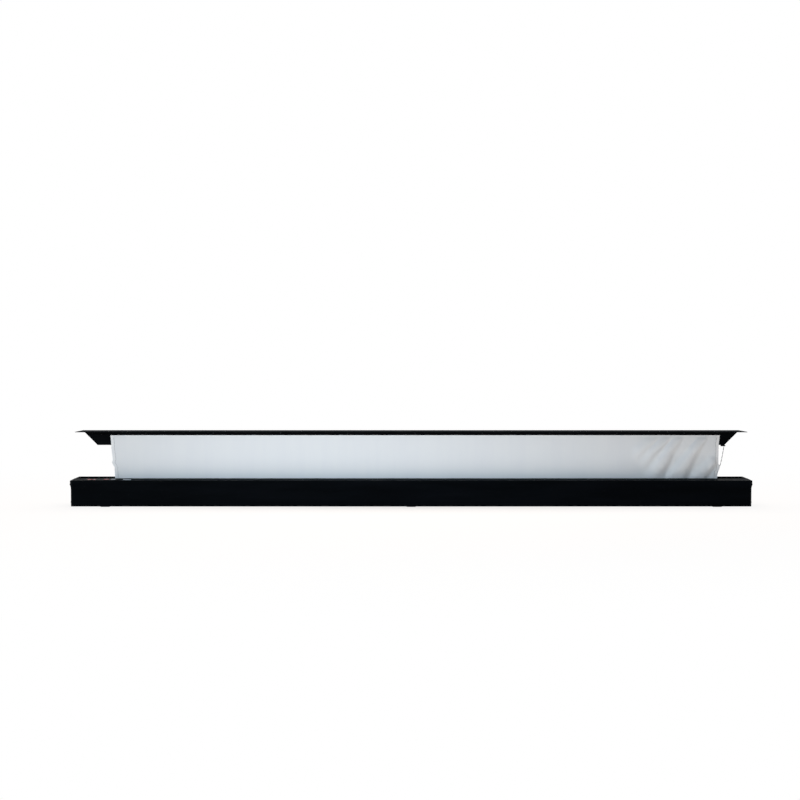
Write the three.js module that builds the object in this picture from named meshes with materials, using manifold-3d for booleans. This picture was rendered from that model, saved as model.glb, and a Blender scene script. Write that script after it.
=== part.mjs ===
// A floor-rising projection screen, shown a little way up: a long black case on the floor, a lid on
// two folding arms, and a white tab-tensioned sheet that the lid draws off a motor roller.
// Millimetres. X runs to the right, Y to the back and Z up; the origin is under the case's middle.

import * as THREE from "three";
import { mergeVertices } from "three/addons/utils/BufferGeometryUtils.js";
import Module from "manifold-3d";

const wasm = await Module();
wasm.setup();

// Gaps
const seatGap = 0.3; // between pieces that touch
const runningGap = 0.3; // round a pin, on the radius
const openPivotGap = 0.5; // round the right wrist pin, where the linkage is open
const weldDistance = 0.001;
const overrun = 5; // how far a cutting solid reaches past what it cuts

// Case
const caseLength = 3000;
const caseDepth = 140;
const frontHeight = 117;
const deckRise = 2.8; // from the deck's front edge to the slot
const rearHeight = 121;
const rearLedge = 7.5;
const profileWall = 2.5;
const flangeLength = 16;
const deckLipDepth = 7.6; // the deck's two edges turn down this far
const deckSeatWidth = 3.2; // the front wall's rib that the deck's front edge rests on
const deckSeatDepth = 2.4;
const rearLipDepth = 10;
const lowerCorner = 4;
const upperCorner = 2;
const footHeight = 2.2;
const footLength = 40;
const footInset = 150;
const footMargin = 8;
const baseThickness = 3;
const baseMargin = 3;
const baseRibHeight = 5;
const baseRibWidth = 3;
const baseRibInset = 8;
const portRadius = 4;
const portBore = 2;
const portBite = 2; // how far a screw port sinks into its wall
const lowPortHeight = 22;
const highPortHeight = 100;
const rearLowPortHeight = 13.5;
const rearHighPortHeight = 48;

// End caps
const capThickness = 6;
const capBand = 3.5; // how far the cap's top band stands out
const capBandHeight = 22;
const capBandTaper = 14;
const lugDepth = 14;
const lugThickness = 2.5;
const frontLugFoot = 32;
const frontLugHead = 92;
const rearLugFoot = 56;
const rearLugHead = 108;
const inletWidth = 28;
const inletHeight = 20;
const inletDepth = 18;
const inletWall = 2.8;
const inletFloor = 4;
const inletBehindMiddle = 30;
const inletAboveFloor = 40;
const bladeWidth = 2;
const bladeHeight = 6;
const bladeLength = 9;
const bladePitch = 7;
const bladeLift = 1.5;

// Slot lip
const slotLipThickness = 2.2;
const slotLipBulb = 1.7;
const slotLipHeight = 10;

// Sheet
const clothThickness = 0.5;
const clothBehindLip = 12; // from the slot's front edge to the sheet's middle
const leftMarginTop = 159; // from the case's end to the sheet's edge, under the clamp rail
const leftMarginDeck = 179;
const rightMarginTop = 123;
const rightMarginDeck = 132;
const tabWidth = 18;
const clampGap = 0.35;
const clampDepth = 6.4;
const clampHeight = 16.2;
const clampOverhang = 8;
const clampNose = 3;
const foldDepth = 5;
const foldWidth = 26;
const foldMargin = 14; // the flat strip kept at the sheet's top and foot

// Lid and top beam
const liftAtRest = 207.7;
const liftAtTop = 1546.7; // the lid's full rise, which sets the joint's limit
const lidInset = 20;
const lidFront = 12; // from the case's front face
const lidBack = 4;
const lidThickness = 2;
const beamInset = 45;
const beamHeight = 60.3;
const beamWall = 2.2;
const beamSideGap = 1.5;
const beamCorner = 2;
const beamCapThickness = 2;
const beamTongue = 40;
const beamTongueHeight = 8;

// Folding arms
const shoulderInset = 170;
const shoulderHeight = 28;
const wristDrop = 46.3; // from the lid plate to the wrist
const elbowGap = 120; // between the two elbows when the arms lie flat
const armWidth = 19;
const armHeight = 30;
const armWall = 2;
const armCorner = 4;
const armFrontRoom = 5.2;
const armRearRoom = 3.8;
const armGap = 5; // between the lower and the upper arm
const knuckleInset = 1; // a knuckle is this much narrower than its tube, on each side
const knuckleRadius = 15;
const tubeSetback = 26; // from a pivot to the end of the tube
const plugLength = 20;
const pinRadius = 6;
const elbowPinRadius = 7;
const elbowBoss = 12;
const pinHead = 2.7;
const pinRing = 1.6;
const headOverhang = 3.5;
const earThickness = 3.5;
const earRadius = 13;
const earSpread = 3;
const bracketPlate = 3;
const bracketLength = 60;
const springLength = 500;
const springStart = 60;
const springRod = 4;
const springRodLength = 90;

// Roller and motor
const rollerHeight = 45;
const rollRadius = 29;
const tubeRadius = 25;
const tubeWall = 1.5;
const tubeInset = 41;
const motorRadius = 21.5;
const motorLength = 557;
const motorHeadLength = 24.6;
const motorHeadRadius = 25;
const shaftRadius = 6;
const shaftBearing = 14; // how deep the shaft runs in the motor's end
const adapterLength = 17;
const idlerPlugLength = 59;
const idlerPinRadius = 6;
const idlerPinReach = 30;
const holderThickness = 3;
const holderWidth = 50;
const holderFoot = 8.6;
const holderTop = 78;
const stubWidth = 14;

// Tension cords
const cordRadius = 1.25;
const cordBehindSheet = 2;
const anchorWidth = 12;
const anchorHeight = 16;
const anchorNose = 5.4;
const anchorThickness = 2.1;
const anchorReach = 8;
const leftCordInset = 210; // from the case's left end
const rightCordInset = 104;
const rightCordFootInset = 134;
const leftCordFootInset = 200;
const cordFoot = 60;
// How far the right cord has swung in, and how far it has come down, on its way to the slot.
const cordSwingShares = [0, 0.04, 0.2, 0.41, 0.68, 0.9, 1, 1];
const cordDropShares = [0, 0.05, 0.19, 0.35, 0.48, 0.58, 0.71, 1];

// Controls on the deck, at the motor end
const panelInset = 55;
const panelLength = 155;
const panelDepth = 32;
const panelThickness = 0.8;
const panelFront = 14;
const panelCorner = 3;
const rockerInset = 87.5;
const rockerLength = 37;
const rockerWidth = 16;
const rockerProud = 0.2;
const rockerCrown = 1; // how deep the V of its top is
const stopInset = 153;
const stopLength = 20;
const turnInset = 182.5;
const turnLength = 17;
const buttonWidth = 14;
const buttonProud = 0.9;
const buttonDepth = 7;
const buttonCorner = 2;

// Facets
const roundSteps = 24;
const rollSteps = 36;
const cornerSteps = 3;
const cordSteps = 30;
const cordSides = 8;
const plainColumns = 8;
const foldedColumns = 36;
const clothRows = 12;
const foldedShare = 0.17; // the share of the sheet's width, at the right, that is creased

// Worked-out places
const halfLength = caseLength / 2;
const halfDepth = caseDepth / 2;
const shellBottom = footHeight + seatGap;
const baseBottom = shellBottom + profileWall + seatGap;
const baseTop = baseBottom + baseThickness;
const capInner = halfLength - capBand - capThickness;
const profileEnd = capInner - seatGap;
const slotRear = halfDepth - rearLedge;
const lidBottom = rearHeight + seatGap + liftAtRest;
const lidTop = lidBottom + lidThickness;
const beamTop = lidBottom - seatGap;
const beamBottom = beamTop - beamHeight;
const beamRear = slotRear - beamSideGap;
const channelRear = beamRear - beamWall;
const channelFront = channelRear - armRearRoom - 2 * armWidth - armGap - armFrontRoom;
const beamFront = channelFront - beamWall;
const clothPlane = beamFront - clampGap - clothThickness / 2; // Y of the sheet's middle
const slotFront = clothPlane - clothBehindLip;
const deckHeight = frontHeight + deckRise;
const deckSlope = Math.atan2(deckRise, slotFront + halfDepth);
const beamHalfTop = halfLength - beamInset;
const beamHalfBottom = beamHalfTop - beamHeight;
const channelTop = beamTop - beamWall;
const knuckleWidth = armWidth - 2 * knuckleInset;
const springRadius = armWidth / 2 - armWall - seatGap;
const upperArmY = channelFront + armFrontRoom + armWidth / 2;
const lowerArmY = channelRear - armRearRoom - armWidth / 2;
const shoulderX = halfLength - shoulderInset;
const armLength = shoulderX - elbowGap / 2;
const wristZ = lidBottom - wristDrop;
const restAngle = Math.asin((wristZ - shoulderHeight) / (2 * armLength));
const clampRear = clothPlane - clothThickness / 2 - clampGap;
const clampBottom = beamTop - clampHeight;
const rollerY = clothPlane - clothThickness / 2 - seatGap - rollRadius;
const tubeEnd = halfLength - tubeInset;
const holderInner = profileEnd - holderThickness;

// Finishes, as seen in the light of the photograph
const finish = {
  case: new THREE.MeshStandardMaterial({ color: "#15171c", roughness: 0.42, metalness: 0.35 }),
  moulded: new THREE.MeshStandardMaterial({ color: "#121317", roughness: 0.55, metalness: 0 }),
  rubber: new THREE.MeshStandardMaterial({ color: "#0b0b0c", roughness: 0.9, metalness: 0 }),
  aluminium: new THREE.MeshStandardMaterial({ color: "#9b9fa4", roughness: 0.4, metalness: 0.9 }),
  steel: new THREE.MeshStandardMaterial({ color: "#8a8d90", roughness: 0.35, metalness: 1 }),
  cloth: new THREE.MeshStandardMaterial({ color: "#dfe3e4", roughness: 0.85, metalness: 0 }),
  tab: new THREE.MeshStandardMaterial({ color: "#d6dadd", roughness: 0.6, metalness: 0 }),
  cord: new THREE.MeshStandardMaterial({ color: "#2a2c2f", roughness: 0.8, metalness: 0 }),
  red: new THREE.MeshStandardMaterial({ color: "#a31f26", roughness: 0.45, metalness: 0 }),
  grey: new THREE.MeshStandardMaterial({ color: "#b9bcc0", roughness: 0.5, metalness: 0 }),
};

const screen = new THREE.Group();

// Solids and shapes

function solidOf(geometry) {
  const open = geometry.index ? geometry.toNonIndexed() : geometry;
  const bare = new THREE.BufferGeometry();
  bare.setAttribute("position", open.getAttribute("position"));
  const merged = mergeVertices(bare, weldDistance);
  return new wasm.Manifold(
    new wasm.Mesh({
      numProp: 3,
      vertProperties: merged.attributes.position.array,
      triVerts: new Uint32Array(merged.index.array),
    }),
  );
}

function geometryOf(solid) {
  const mesh = solid.getMesh();
  const geometry = new THREE.BufferGeometry();
  geometry.setAttribute("position", new THREE.BufferAttribute(mesh.vertProperties, 3));
  geometry.setIndex(new THREE.BufferAttribute(mesh.triVerts, 1));
  const flat = geometry.toNonIndexed();
  flat.computeVertexNormals();
  return flat;
}

const join = (first, ...more) =>
  geometryOf(more.reduce((whole, g) => whole.add(solidOf(g)), solidOf(first)));
const cut = (first, ...more) =>
  geometryOf(more.reduce((whole, g) => whole.subtract(solidOf(g)), solidOf(first)));
const meet = (first, second) => geometryOf(solidOf(first).intersect(solidOf(second)));

// A closed outline through corners [x, y, radius], the radius being 0 where it is left out.
function outline(corners) {
  const shape = new THREE.Shape();
  corners.forEach(([x, y, radius = 0], i) => {
    const [bx, by] = corners[(i + corners.length - 1) % corners.length];
    const [ax, ay] = corners[(i + 1) % corners.length];
    const before = radius / Math.hypot(bx - x, by - y);
    const after = radius / Math.hypot(ax - x, ay - y);
    const start = [x + (bx - x) * before, y + (by - y) * before];
    if (i) shape.lineTo(...start);
    else shape.moveTo(...start);
    if (radius) shape.quadraticCurveTo(x, y, x + (ax - x) * after, y + (ay - y) * after);
  });
  shape.closePath();
  return shape;
}

const rectangle = (x0, x1, y0, y1, radius = 0) =>
  outline([
    [x0, y0, radius],
    [x1, y0, radius],
    [x1, y1, radius],
    [x0, y1, radius],
  ]);

function disc(x, y, radius) {
  const shape = new THREE.Shape();
  shape.absarc(x, y, radius, 0, 2 * Math.PI);
  return shape;
}

// A sheet bent along a path: the wall lies on the right of the way the path runs, or on its left
// where the wall is negative.
function bentStrip(path, wall) {
  const side = path.map(([x, y], i) => {
    const [bx, by] = path[Math.max(i - 1, 0)];
    const [ax, ay] = path[Math.min(i + 1, path.length - 1)];
    const into = Math.atan2(y - by, x - bx);
    const out = Math.atan2(ay - y, ax - x);
    const first = i === 0 ? out : into;
    const last = i === path.length - 1 ? into : out;
    const middle = (first + last) / 2 - (Math.abs(first - last) > Math.PI ? Math.PI : 0);
    const reach = wall / Math.cos((first - last) / 2);
    const sign = Math.sign(Math.cos((first - last) / 2));
    const mitre = Math.abs(reach) * Math.sign(wall) * (sign < 0 ? 1 : sign);
    return [x + Math.sin(middle) * mitre, y - Math.cos(middle) * mitre];
  });
  return outline([...path, ...side.reverse()]);
}

const extrude = (shape, depth, steps) =>
  new THREE.ExtrudeGeometry(shape, { depth, bevelEnabled: false, curveSegments: steps });

// A shape drawn in Y and Z, run along X.
function alongX(shape, x0, x1, steps = cornerSteps) {
  const basis = new THREE.Matrix4().makeBasis(
    new THREE.Vector3(0, 1, 0),
    new THREE.Vector3(0, 0, 1),
    new THREE.Vector3(1, 0, 0),
  );
  return extrude(shape, x1 - x0, steps).applyMatrix4(basis).translate(x0, 0, 0);
}

// A shape drawn in X and Z, run along Y.
const alongY = (shape, y0, y1, steps = cornerSteps) =>
  extrude(shape, y1 - y0, steps).rotateX(Math.PI / 2).translate(0, y1, 0);

// A shape drawn in X and Y, run along Z.
const alongZ = (shape, z0, z1, steps = cornerSteps) =>
  extrude(shape, z1 - z0, steps).translate(0, 0, z0);

const box = (x0, x1, y0, y1, z0, z1) =>
  new THREE.BoxGeometry(x1 - x0, y1 - y0, z1 - z0).translate(
    (x0 + x1) / 2,
    (y0 + y1) / 2,
    (z0 + z1) / 2,
  );

const rodX = (x0, x1, y, z, radius, steps = roundSteps) =>
  alongX(disc(y, z, radius), x0, x1, steps / 2);

const rodY = (x, z, y0, y1, radius, steps = roundSteps) =>
  alongY(disc(x, z, radius), y0, y1, steps / 2);

function add(name, geometry, material, parent = screen) {
  const mesh = new THREE.Mesh(geometry, material);
  mesh.name = name;
  parent.add(mesh);
  return mesh;
}

const sides = [
  { name: "left", sign: -1 },
  { name: "right", sign: 1 },
];

// An upright span on one side, as X limits in rising order.
const span = (sign, near, far) => (sign < 0 ? [-far, -near] : [near, far]);

// Case shell

const deckFrame = new THREE.Group();
deckFrame.position.set(0, -halfDepth, frontHeight);
deckFrame.rotation.x = deckSlope;
deckFrame.updateMatrix();
screen.add(deckFrame);

// The controls: their places along the deck, measured from the case's left end.
const controls = [
  { inset: rockerInset, length: rockerLength, width: rockerWidth },
  { inset: stopInset, length: stopLength, width: buttonWidth },
  { inset: turnInset, length: turnLength, width: buttonWidth },
];
const panelMiddle = panelFront + panelDepth / 2;

function controlHole({ inset, length, width }) {
  const x = -halfLength + inset;
  const hole = rectangle(
    x - length / 2 - seatGap,
    x + length / 2 + seatGap,
    panelMiddle - width / 2 - seatGap,
    panelMiddle + width / 2 + seatGap,
  );
  return alongZ(hole, -profileWall - overrun, panelThickness + overrun);
}

function screwPort(geometry, y, z) {
  const whole = join(geometry, rodX(-profileEnd, profileEnd, y, z, portRadius, roundSteps / 2));
  return cut(
    whole,
    rodX(-profileEnd - overrun, profileEnd + overrun, y, z, portBore, roundSteps / 4),
  );
}

const deckFoot = deckHeight - deckLipDepth;
const deckAt = (y) => frontHeight + (y + halfDepth) * Math.tan(deckSlope);

// The front wall, with a rib behind its top edge that carries the deck.
function frontProfile() {
  const topEdge = -halfDepth + profileWall + seatGap;
  const section = bentStrip(
    [
      [-halfDepth + flangeLength, shellBottom],
      [-halfDepth, shellBottom, lowerCorner],
      [-halfDepth, frontHeight, upperCorner],
      [topEdge, deckAt(topEdge)],
    ],
    profileWall,
  );
  const wallInside = -halfDepth + profileWall;
  const seatTop = deckFoot - seatGap;
  const portY = wallInside + portRadius - portBite;
  let profile = join(
    alongX(section, -profileEnd, profileEnd),
    box(
      -profileEnd,
      profileEnd,
      wallInside - seatGap,
      wallInside + deckSeatWidth,
      seatTop - deckSeatDepth,
      seatTop,
    ),
  );
  profile = screwPort(profile, portY, lowPortHeight);
  return screwPort(profile, portY, highPortHeight);
}

// The sloping deck, which butts against the front wall and carries the slot's lip.
function deckProfile() {
  const frontEdge = -halfDepth + profileWall + 2 * seatGap;
  const section = bentStrip(
    [
      [frontEdge, deckFoot],
      [frontEdge, deckAt(frontEdge)],
      [slotFront, deckHeight],
      [slotFront, deckFoot],
    ],
    profileWall,
  );
  return cut(
    alongX(section, -profileEnd, profileEnd),
    ...controls.map((c) => controlHole(c).applyMatrix4(deckFrame.matrix)),
  );
}

function rearProfile() {
  const section = bentStrip(
    [
      [halfDepth - flangeLength, shellBottom],
      [halfDepth, shellBottom, lowerCorner],
      [halfDepth, rearHeight, upperCorner],
      [slotRear, rearHeight],
      [slotRear, rearHeight - rearLipDepth],
    ],
    -profileWall,
  );
  const portY = halfDepth - profileWall - portRadius + portBite;
  let profile = alongX(section, -profileEnd, profileEnd);
  profile = screwPort(profile, portY, rearLowPortHeight);
  return screwPort(profile, portY, rearHighPortHeight);
}

function basePlate() {
  const edge = halfDepth - profileWall - baseMargin + seatGap;
  const rib = slotFront + baseRibInset + slotLipThickness;
  const ribTop = baseTop + baseRibHeight;
  return alongX(
    outline([
      [-edge, baseBottom],
      [edge, baseBottom],
      [edge, baseTop],
      [rib + baseRibWidth, baseTop],
      [rib + baseRibWidth, ribTop],
      [rib, ribTop],
      [rib, baseTop],
      [-edge + baseRibWidth, baseTop],
      [-edge + baseRibWidth, ribTop],
      [-edge, ribTop],
    ]),
    -profileEnd,
    profileEnd,
  );
}

function slotLip() {
  const y = slotFront + seatGap;
  const top = deckHeight + slotLipBulb / 2;
  const shape = new THREE.Shape();
  shape.moveTo(y, top - slotLipHeight);
  shape.lineTo(y + slotLipThickness, top - slotLipHeight);
  shape.lineTo(y + slotLipThickness + slotLipBulb / 2, top - slotLipBulb);
  shape.absarc(y + slotLipBulb, top - slotLipBulb, slotLipBulb, 0, Math.PI, false);
  shape.lineTo(y, top - slotLipHeight);
  return alongX(shape, -profileEnd, profileEnd);
}

function foot(x) {
  const y = halfDepth - footMargin;
  return alongZ(rectangle(x - footLength / 2, x + footLength / 2, -y, y, lowerCorner), 0, footHeight);
}

function inletOutline(grow) {
  const y = inletBehindMiddle;
  const z = inletAboveFloor;
  return rectangle(
    y - inletWidth / 2 - grow,
    y + inletWidth / 2 + grow,
    z - inletHeight / 2 - grow,
    z + inletHeight / 2 + grow,
    buttonCorner,
  );
}

function endCap(sign) {
  const capSide = outline([
    [-halfDepth, shellBottom, lowerCorner],
    [halfDepth, shellBottom, lowerCorner],
    [halfDepth, rearHeight, upperCorner],
    [slotFront, deckHeight],
    [-halfDepth, frontHeight, upperCorner],
  ]);
  const face = halfLength - capBand;
  const bandFoot = rearHeight - capBandHeight;
  const step = outline([
    [sign * capInner, shellBottom - overrun],
    [sign * face, shellBottom - overrun],
    [sign * face, bandFoot - capBandTaper],
    [sign * halfLength, bandFoot],
    [sign * halfLength, rearHeight + overrun],
    [sign * capInner, rearHeight + overrun],
  ]);
  const whole = meet(
    alongX(capSide, ...span(sign, capInner, halfLength)),
    alongY(step, -halfDepth - overrun, halfDepth + overrun),
  );
  const lugs = [
    [-halfDepth + profileWall + seatGap, frontLugFoot, frontLugHead],
    [halfDepth - profileWall - seatGap - lugThickness, rearLugFoot, rearLugHead],
  ].map(([y, low, high]) =>
    box(...span(sign, capInner - lugDepth, capInner + lugThickness), y, y + lugThickness, low, high),
  );
  const cap = join(whole, ...lugs);
  if (sign > 0) return cap;
  return cut(cap, alongX(inletOutline(seatGap), -halfLength - overrun, -capInner + overrun));
}

function powerInlet() {
  const face = -halfLength + capBand;
  const y = inletBehindMiddle;
  const low = inletAboveFloor - inletHeight / 2 + inletWall;
  const cavity = rectangle(
    y - inletWidth / 2 + inletWall,
    y + inletWidth / 2 - inletWall,
    low,
    inletAboveFloor + inletHeight / 2 - inletWall,
    buttonCorner,
  );
  const floor = face + inletDepth - inletFloor;
  const body = cut(
    alongX(inletOutline(0), face, face + inletDepth),
    alongX(cavity, face - overrun, floor),
  );
  const blades = [-1, 0, 1].map((n) =>
    box(
      floor - bladeLength,
      floor + inletFloor / 2,
      y + n * bladePitch - bladeWidth / 2,
      y + n * bladePitch + bladeWidth / 2,
      low + bladeLift,
      low + bladeLift + bladeHeight,
    ),
  );
  return join(body, ...blades);
}

add("base_plate", basePlate(), finish.aluminium);
add("front_profile", frontProfile(), finish.case);
add("deck_profile", deckProfile(), finish.case);
add("rear_profile", rearProfile(), finish.case);
add("slot_lip", slotLip(), finish.moulded);
add("power_inlet", powerInlet(), finish.moulded);
sides.forEach(({ name, sign }) => {
  add(name + "_end_cap", endCap(sign), finish.moulded);
  add(name + "_foot", foot(sign * (halfLength - footInset)), finish.rubber);
});
add("centre_foot", foot(0), finish.rubber);

// Controls

function controlPanel() {
  const x = -halfLength + panelInset;
  const plate = alongZ(
    rectangle(x, x + panelLength, panelFront, panelFront + panelDepth, panelCorner),
    seatGap,
    seatGap + panelThickness,
  );
  return cut(plate, ...controls.map(controlHole));
}

function pushButton({ inset, length, width }) {
  const x = -halfLength + inset;
  const top = seatGap + panelThickness + buttonProud;
  return alongZ(
    rectangle(
      x - length / 2,
      x + length / 2,
      panelMiddle - width / 2,
      panelMiddle + width / 2,
      buttonCorner,
    ),
    top - buttonDepth,
    top,
  );
}

// The rocker's top is a shallow V, high at both ends.
function rocker({ inset, length, width }) {
  const x = -halfLength + inset;
  const top = seatGap + panelThickness + rockerProud;
  const side = outline([
    [x - length / 2, top - buttonDepth],
    [x + length / 2, top - buttonDepth],
    [x + length / 2, top, panelThickness],
    [x, top - rockerCrown],
    [x - length / 2, top, panelThickness],
  ]);
  return alongY(side, panelMiddle - width / 2, panelMiddle + width / 2);
}

add("control_panel", controlPanel(), finish.moulded, deckFrame);
add("power_rocker", rocker(controls[0]), finish.red, deckFrame);
add("stop_button", pushButton(controls[1]), finish.red, deckFrame);
add("turn_button", pushButton(controls[2]), finish.grey, deckFrame);

// Roller, motor and their holders

const ringX = (x0, x1, outer, inner, steps) =>
  cut(
    rodX(x0, x1, rollerY, rollerHeight, outer, steps),
    rodX(x0 - overrun, x1 + overrun, rollerY, rollerHeight, inner, steps),
  );

const barX = (x0, x1, width) =>
  box(
    x0,
    x1,
    rollerY - width / 2,
    rollerY + width / 2,
    rollerHeight - width / 2,
    rollerHeight + width / 2,
  );

function holder(sign, hole) {
  const plate = alongX(
    outline([
      [rollerY - holderWidth / 2, holderFoot],
      [rollerY + holderWidth / 2, holderFoot],
      [rollerY + holderWidth / 2, rollerHeight, panelCorner],
      [rollerY + holderWidth / 4, holderTop, panelCorner],
      [rollerY - holderWidth / 4, holderTop, panelCorner],
      [rollerY - holderWidth / 2, rollerHeight, panelCorner],
    ]),
    ...span(sign, holderInner, profileEnd),
  );
  return cut(plate, hole);
}

const motorFace = -holderInner + seatGap;
const motorStart = motorFace + motorHeadLength + seatGap;
const motorEnd = motorStart + motorLength;
const tubeBore = tubeRadius - tubeWall;
const adapterStart = motorEnd + seatGap;
const plugStart = tubeEnd - idlerPlugLength;
const holderHole = stubWidth + 2 * seatGap;

add(
  "motor_bracket",
  holder(-1, barX(-profileEnd - overrun, -holderInner + overrun, holderHole)),
  finish.steel,
);
add(
  "motor_head",
  join(
    rodX(motorFace, motorFace + motorHeadLength, rollerY, rollerHeight, motorHeadRadius),
    barX(-profileEnd + seatGap, motorFace + seatGap, stubWidth),
  ),
  finish.moulded,
);
add(
  "motor_tube",
  cut(
    rodX(motorStart, motorEnd, rollerY, rollerHeight, motorRadius),
    rodX(
      motorEnd - shaftBearing,
      motorEnd + overrun,
      rollerY,
      rollerHeight,
      shaftRadius + runningGap,
    ),
  ),
  finish.steel,
);
// The adapter turns the roller; its shaft runs in the motor's end.
add(
  "drive_adapter",
  join(
    rodX(adapterStart, adapterStart + adapterLength, rollerY, rollerHeight, tubeBore - seatGap),
    rodX(
      motorEnd - shaftBearing + seatGap,
      adapterStart + adapterLength + shaftRadius,
      rollerY,
      rollerHeight,
      shaftRadius,
    ),
  ),
  finish.moulded,
);
// The tube's right end is plugged, and the plug's bore turns on the idler pin.
add(
  "roller_tube",
  cut(
    join(
      ringX(-tubeEnd, tubeEnd, tubeRadius, tubeBore, rollSteps),
      rodX(plugStart, tubeEnd, rollerY, rollerHeight, tubeBore + tubeWall / 2, rollSteps),
    ),
    rodX(plugStart - overrun, tubeEnd + overrun, rollerY, rollerHeight, idlerPinRadius + runningGap),
  ),
  finish.aluminium,
);
add(
  "fabric_roll",
  ringX(
    -halfLength + leftMarginDeck,
    halfLength - rightMarginDeck,
    rollRadius,
    tubeRadius + seatGap,
    rollSteps,
  ),
  finish.cloth,
);
add(
  "idler_pin",
  rodX(plugStart + idlerPinReach, profileEnd - seatGap, rollerY, rollerHeight, idlerPinRadius),
  finish.steel,
);
add(
  "idler_bracket",
  holder(
    1,
    rodX(
      holderInner - overrun,
      profileEnd + overrun,
      rollerY,
      rollerHeight,
      idlerPinRadius + runningGap,
    ),
  ),
  finish.steel,
);

// Folding arms, in planes side by side behind the sheet

// A pin along Y: its head at the front, a retaining ring at the back.
function pin(front, back, radius) {
  const head = radius + headOverhang;
  const profile = [
    [0, front],
    [head, front],
    [head, front + pinHead],
    [radius, front + pinHead],
    [radius, back - pinRing],
    [head - pinRing, back - pinRing],
    [head - pinRing, back],
    [0, back],
  ];
  return new THREE.LatheGeometry(
    profile.map(([r, y]) => new THREE.Vector2(r, y)),
    roundSteps,
  );
}

// A knuckle round a pivot at the origin, with a neck that reaches +X and plugs into a tube.
function knuckle(y, holeRadius, bossFront) {
  const front = y - knuckleWidth / 2;
  const back = y + knuckleWidth / 2;
  const neckEnd = tubeSetback - seatGap;
  const plugSide = armWidth / 2 - armWall - seatGap;
  const plugHigh = armHeight / 2 - armWall - seatGap;
  const neckHigh = armHeight / 2;
  const neck = alongY(rectangle(0, neckEnd, -neckHigh, neckHigh), front, back);
  const plug = alongX(
    rectangle(y - plugSide, y + plugSide, -plugHigh, plugHigh, armCorner - armWall),
    neckEnd - seatGap,
    neckEnd + plugLength,
  );
  const solids = [rodY(0, 0, front, back, knuckleRadius), neck, plug];
  if (bossFront !== undefined) solids.push(rodY(0, 0, bossFront, back, elbowBoss));
  return cut(join(...solids), rodY(0, 0, front - armWidth, back + armWidth, holeRadius));
}

function armTube(y) {
  const half = armHeight / 2;
  const side = armWidth / 2;
  const inner = armCorner - armWall;
  const ends = [tubeSetback, armLength - tubeSetback];
  return cut(
    alongX(rectangle(y - side, y + side, -half, half, armCorner), ...ends),
    alongX(
      rectangle(y - side + armWall, y + side - armWall, -half + armWall, half - armWall, inner),
      ends[0] - overrun,
      ends[1] + overrun,
    ),
  );
}

function springCartridge(y) {
  const end = springStart + springLength;
  return join(
    rodX(springStart, end, y, 0, springRadius, roundSteps / 2),
    rodX(end - seatGap, end + springRodLength, y, 0, springRod, roundSteps / 2),
  );
}

// Turns a knuckle made for the near end of an arm to the far end.
const turned = (geometry) => geometry.rotateZ(Math.PI).translate(armLength, 0, 0);

// A U bracket: two ears round a pivot at the origin, on a plate that lies at the foot.
function bracket(y, foot, holeRadius) {
  const front = y - knuckleWidth / 2 - seatGap - earThickness;
  const back = y + knuckleWidth / 2 + seatGap;
  const wide = earRadius + earSpread;
  const low = Math.min(foot, foot + Math.sign(-foot) * bracketPlate);
  const ear = new THREE.Shape();
  ear.moveTo(-wide, foot);
  ear.lineTo(-earRadius, 0);
  ear.absarc(0, 0, earRadius, Math.PI, 0, foot < 0);
  ear.lineTo(wide, foot);
  const ears = [front, back].map((at) => alongY(ear, at, at + earThickness, roundSteps / 2));
  const plate = box(
    -bracketLength / 2,
    bracketLength / 2,
    front,
    back + earThickness,
    low,
    low + bracketPlate,
  );
  return cut(join(plate, ...ears), rodY(0, 0, front - overrun, back + armWidth, holeRadius));
}

const elbowBack = lowerArmY + knuckleWidth / 2 + seatGap + pinRing;
const elbowFront = upperArmY - knuckleWidth / 2 - seatGap - pinHead;
const bossFront = upperArmY + knuckleWidth / 2 + seatGap;
const shoulderPinFront = lowerArmY - knuckleWidth / 2 - 2 * seatGap - earThickness - pinHead;
const shoulderPinBack = lowerArmY + knuckleWidth / 2 + 2 * seatGap + earThickness + pinRing;
const wristPinFront = channelFront + seatGap;
const wristPinBack = upperArmY + knuckleWidth / 2 + 2 * seatGap + earThickness + pinHead;

// The wrist pin is put in from the back, so its head is turned to the back.
const wristPin = () =>
  pin(-wristPinBack, -wristPinFront, pinRadius).rotateX(Math.PI);

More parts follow.
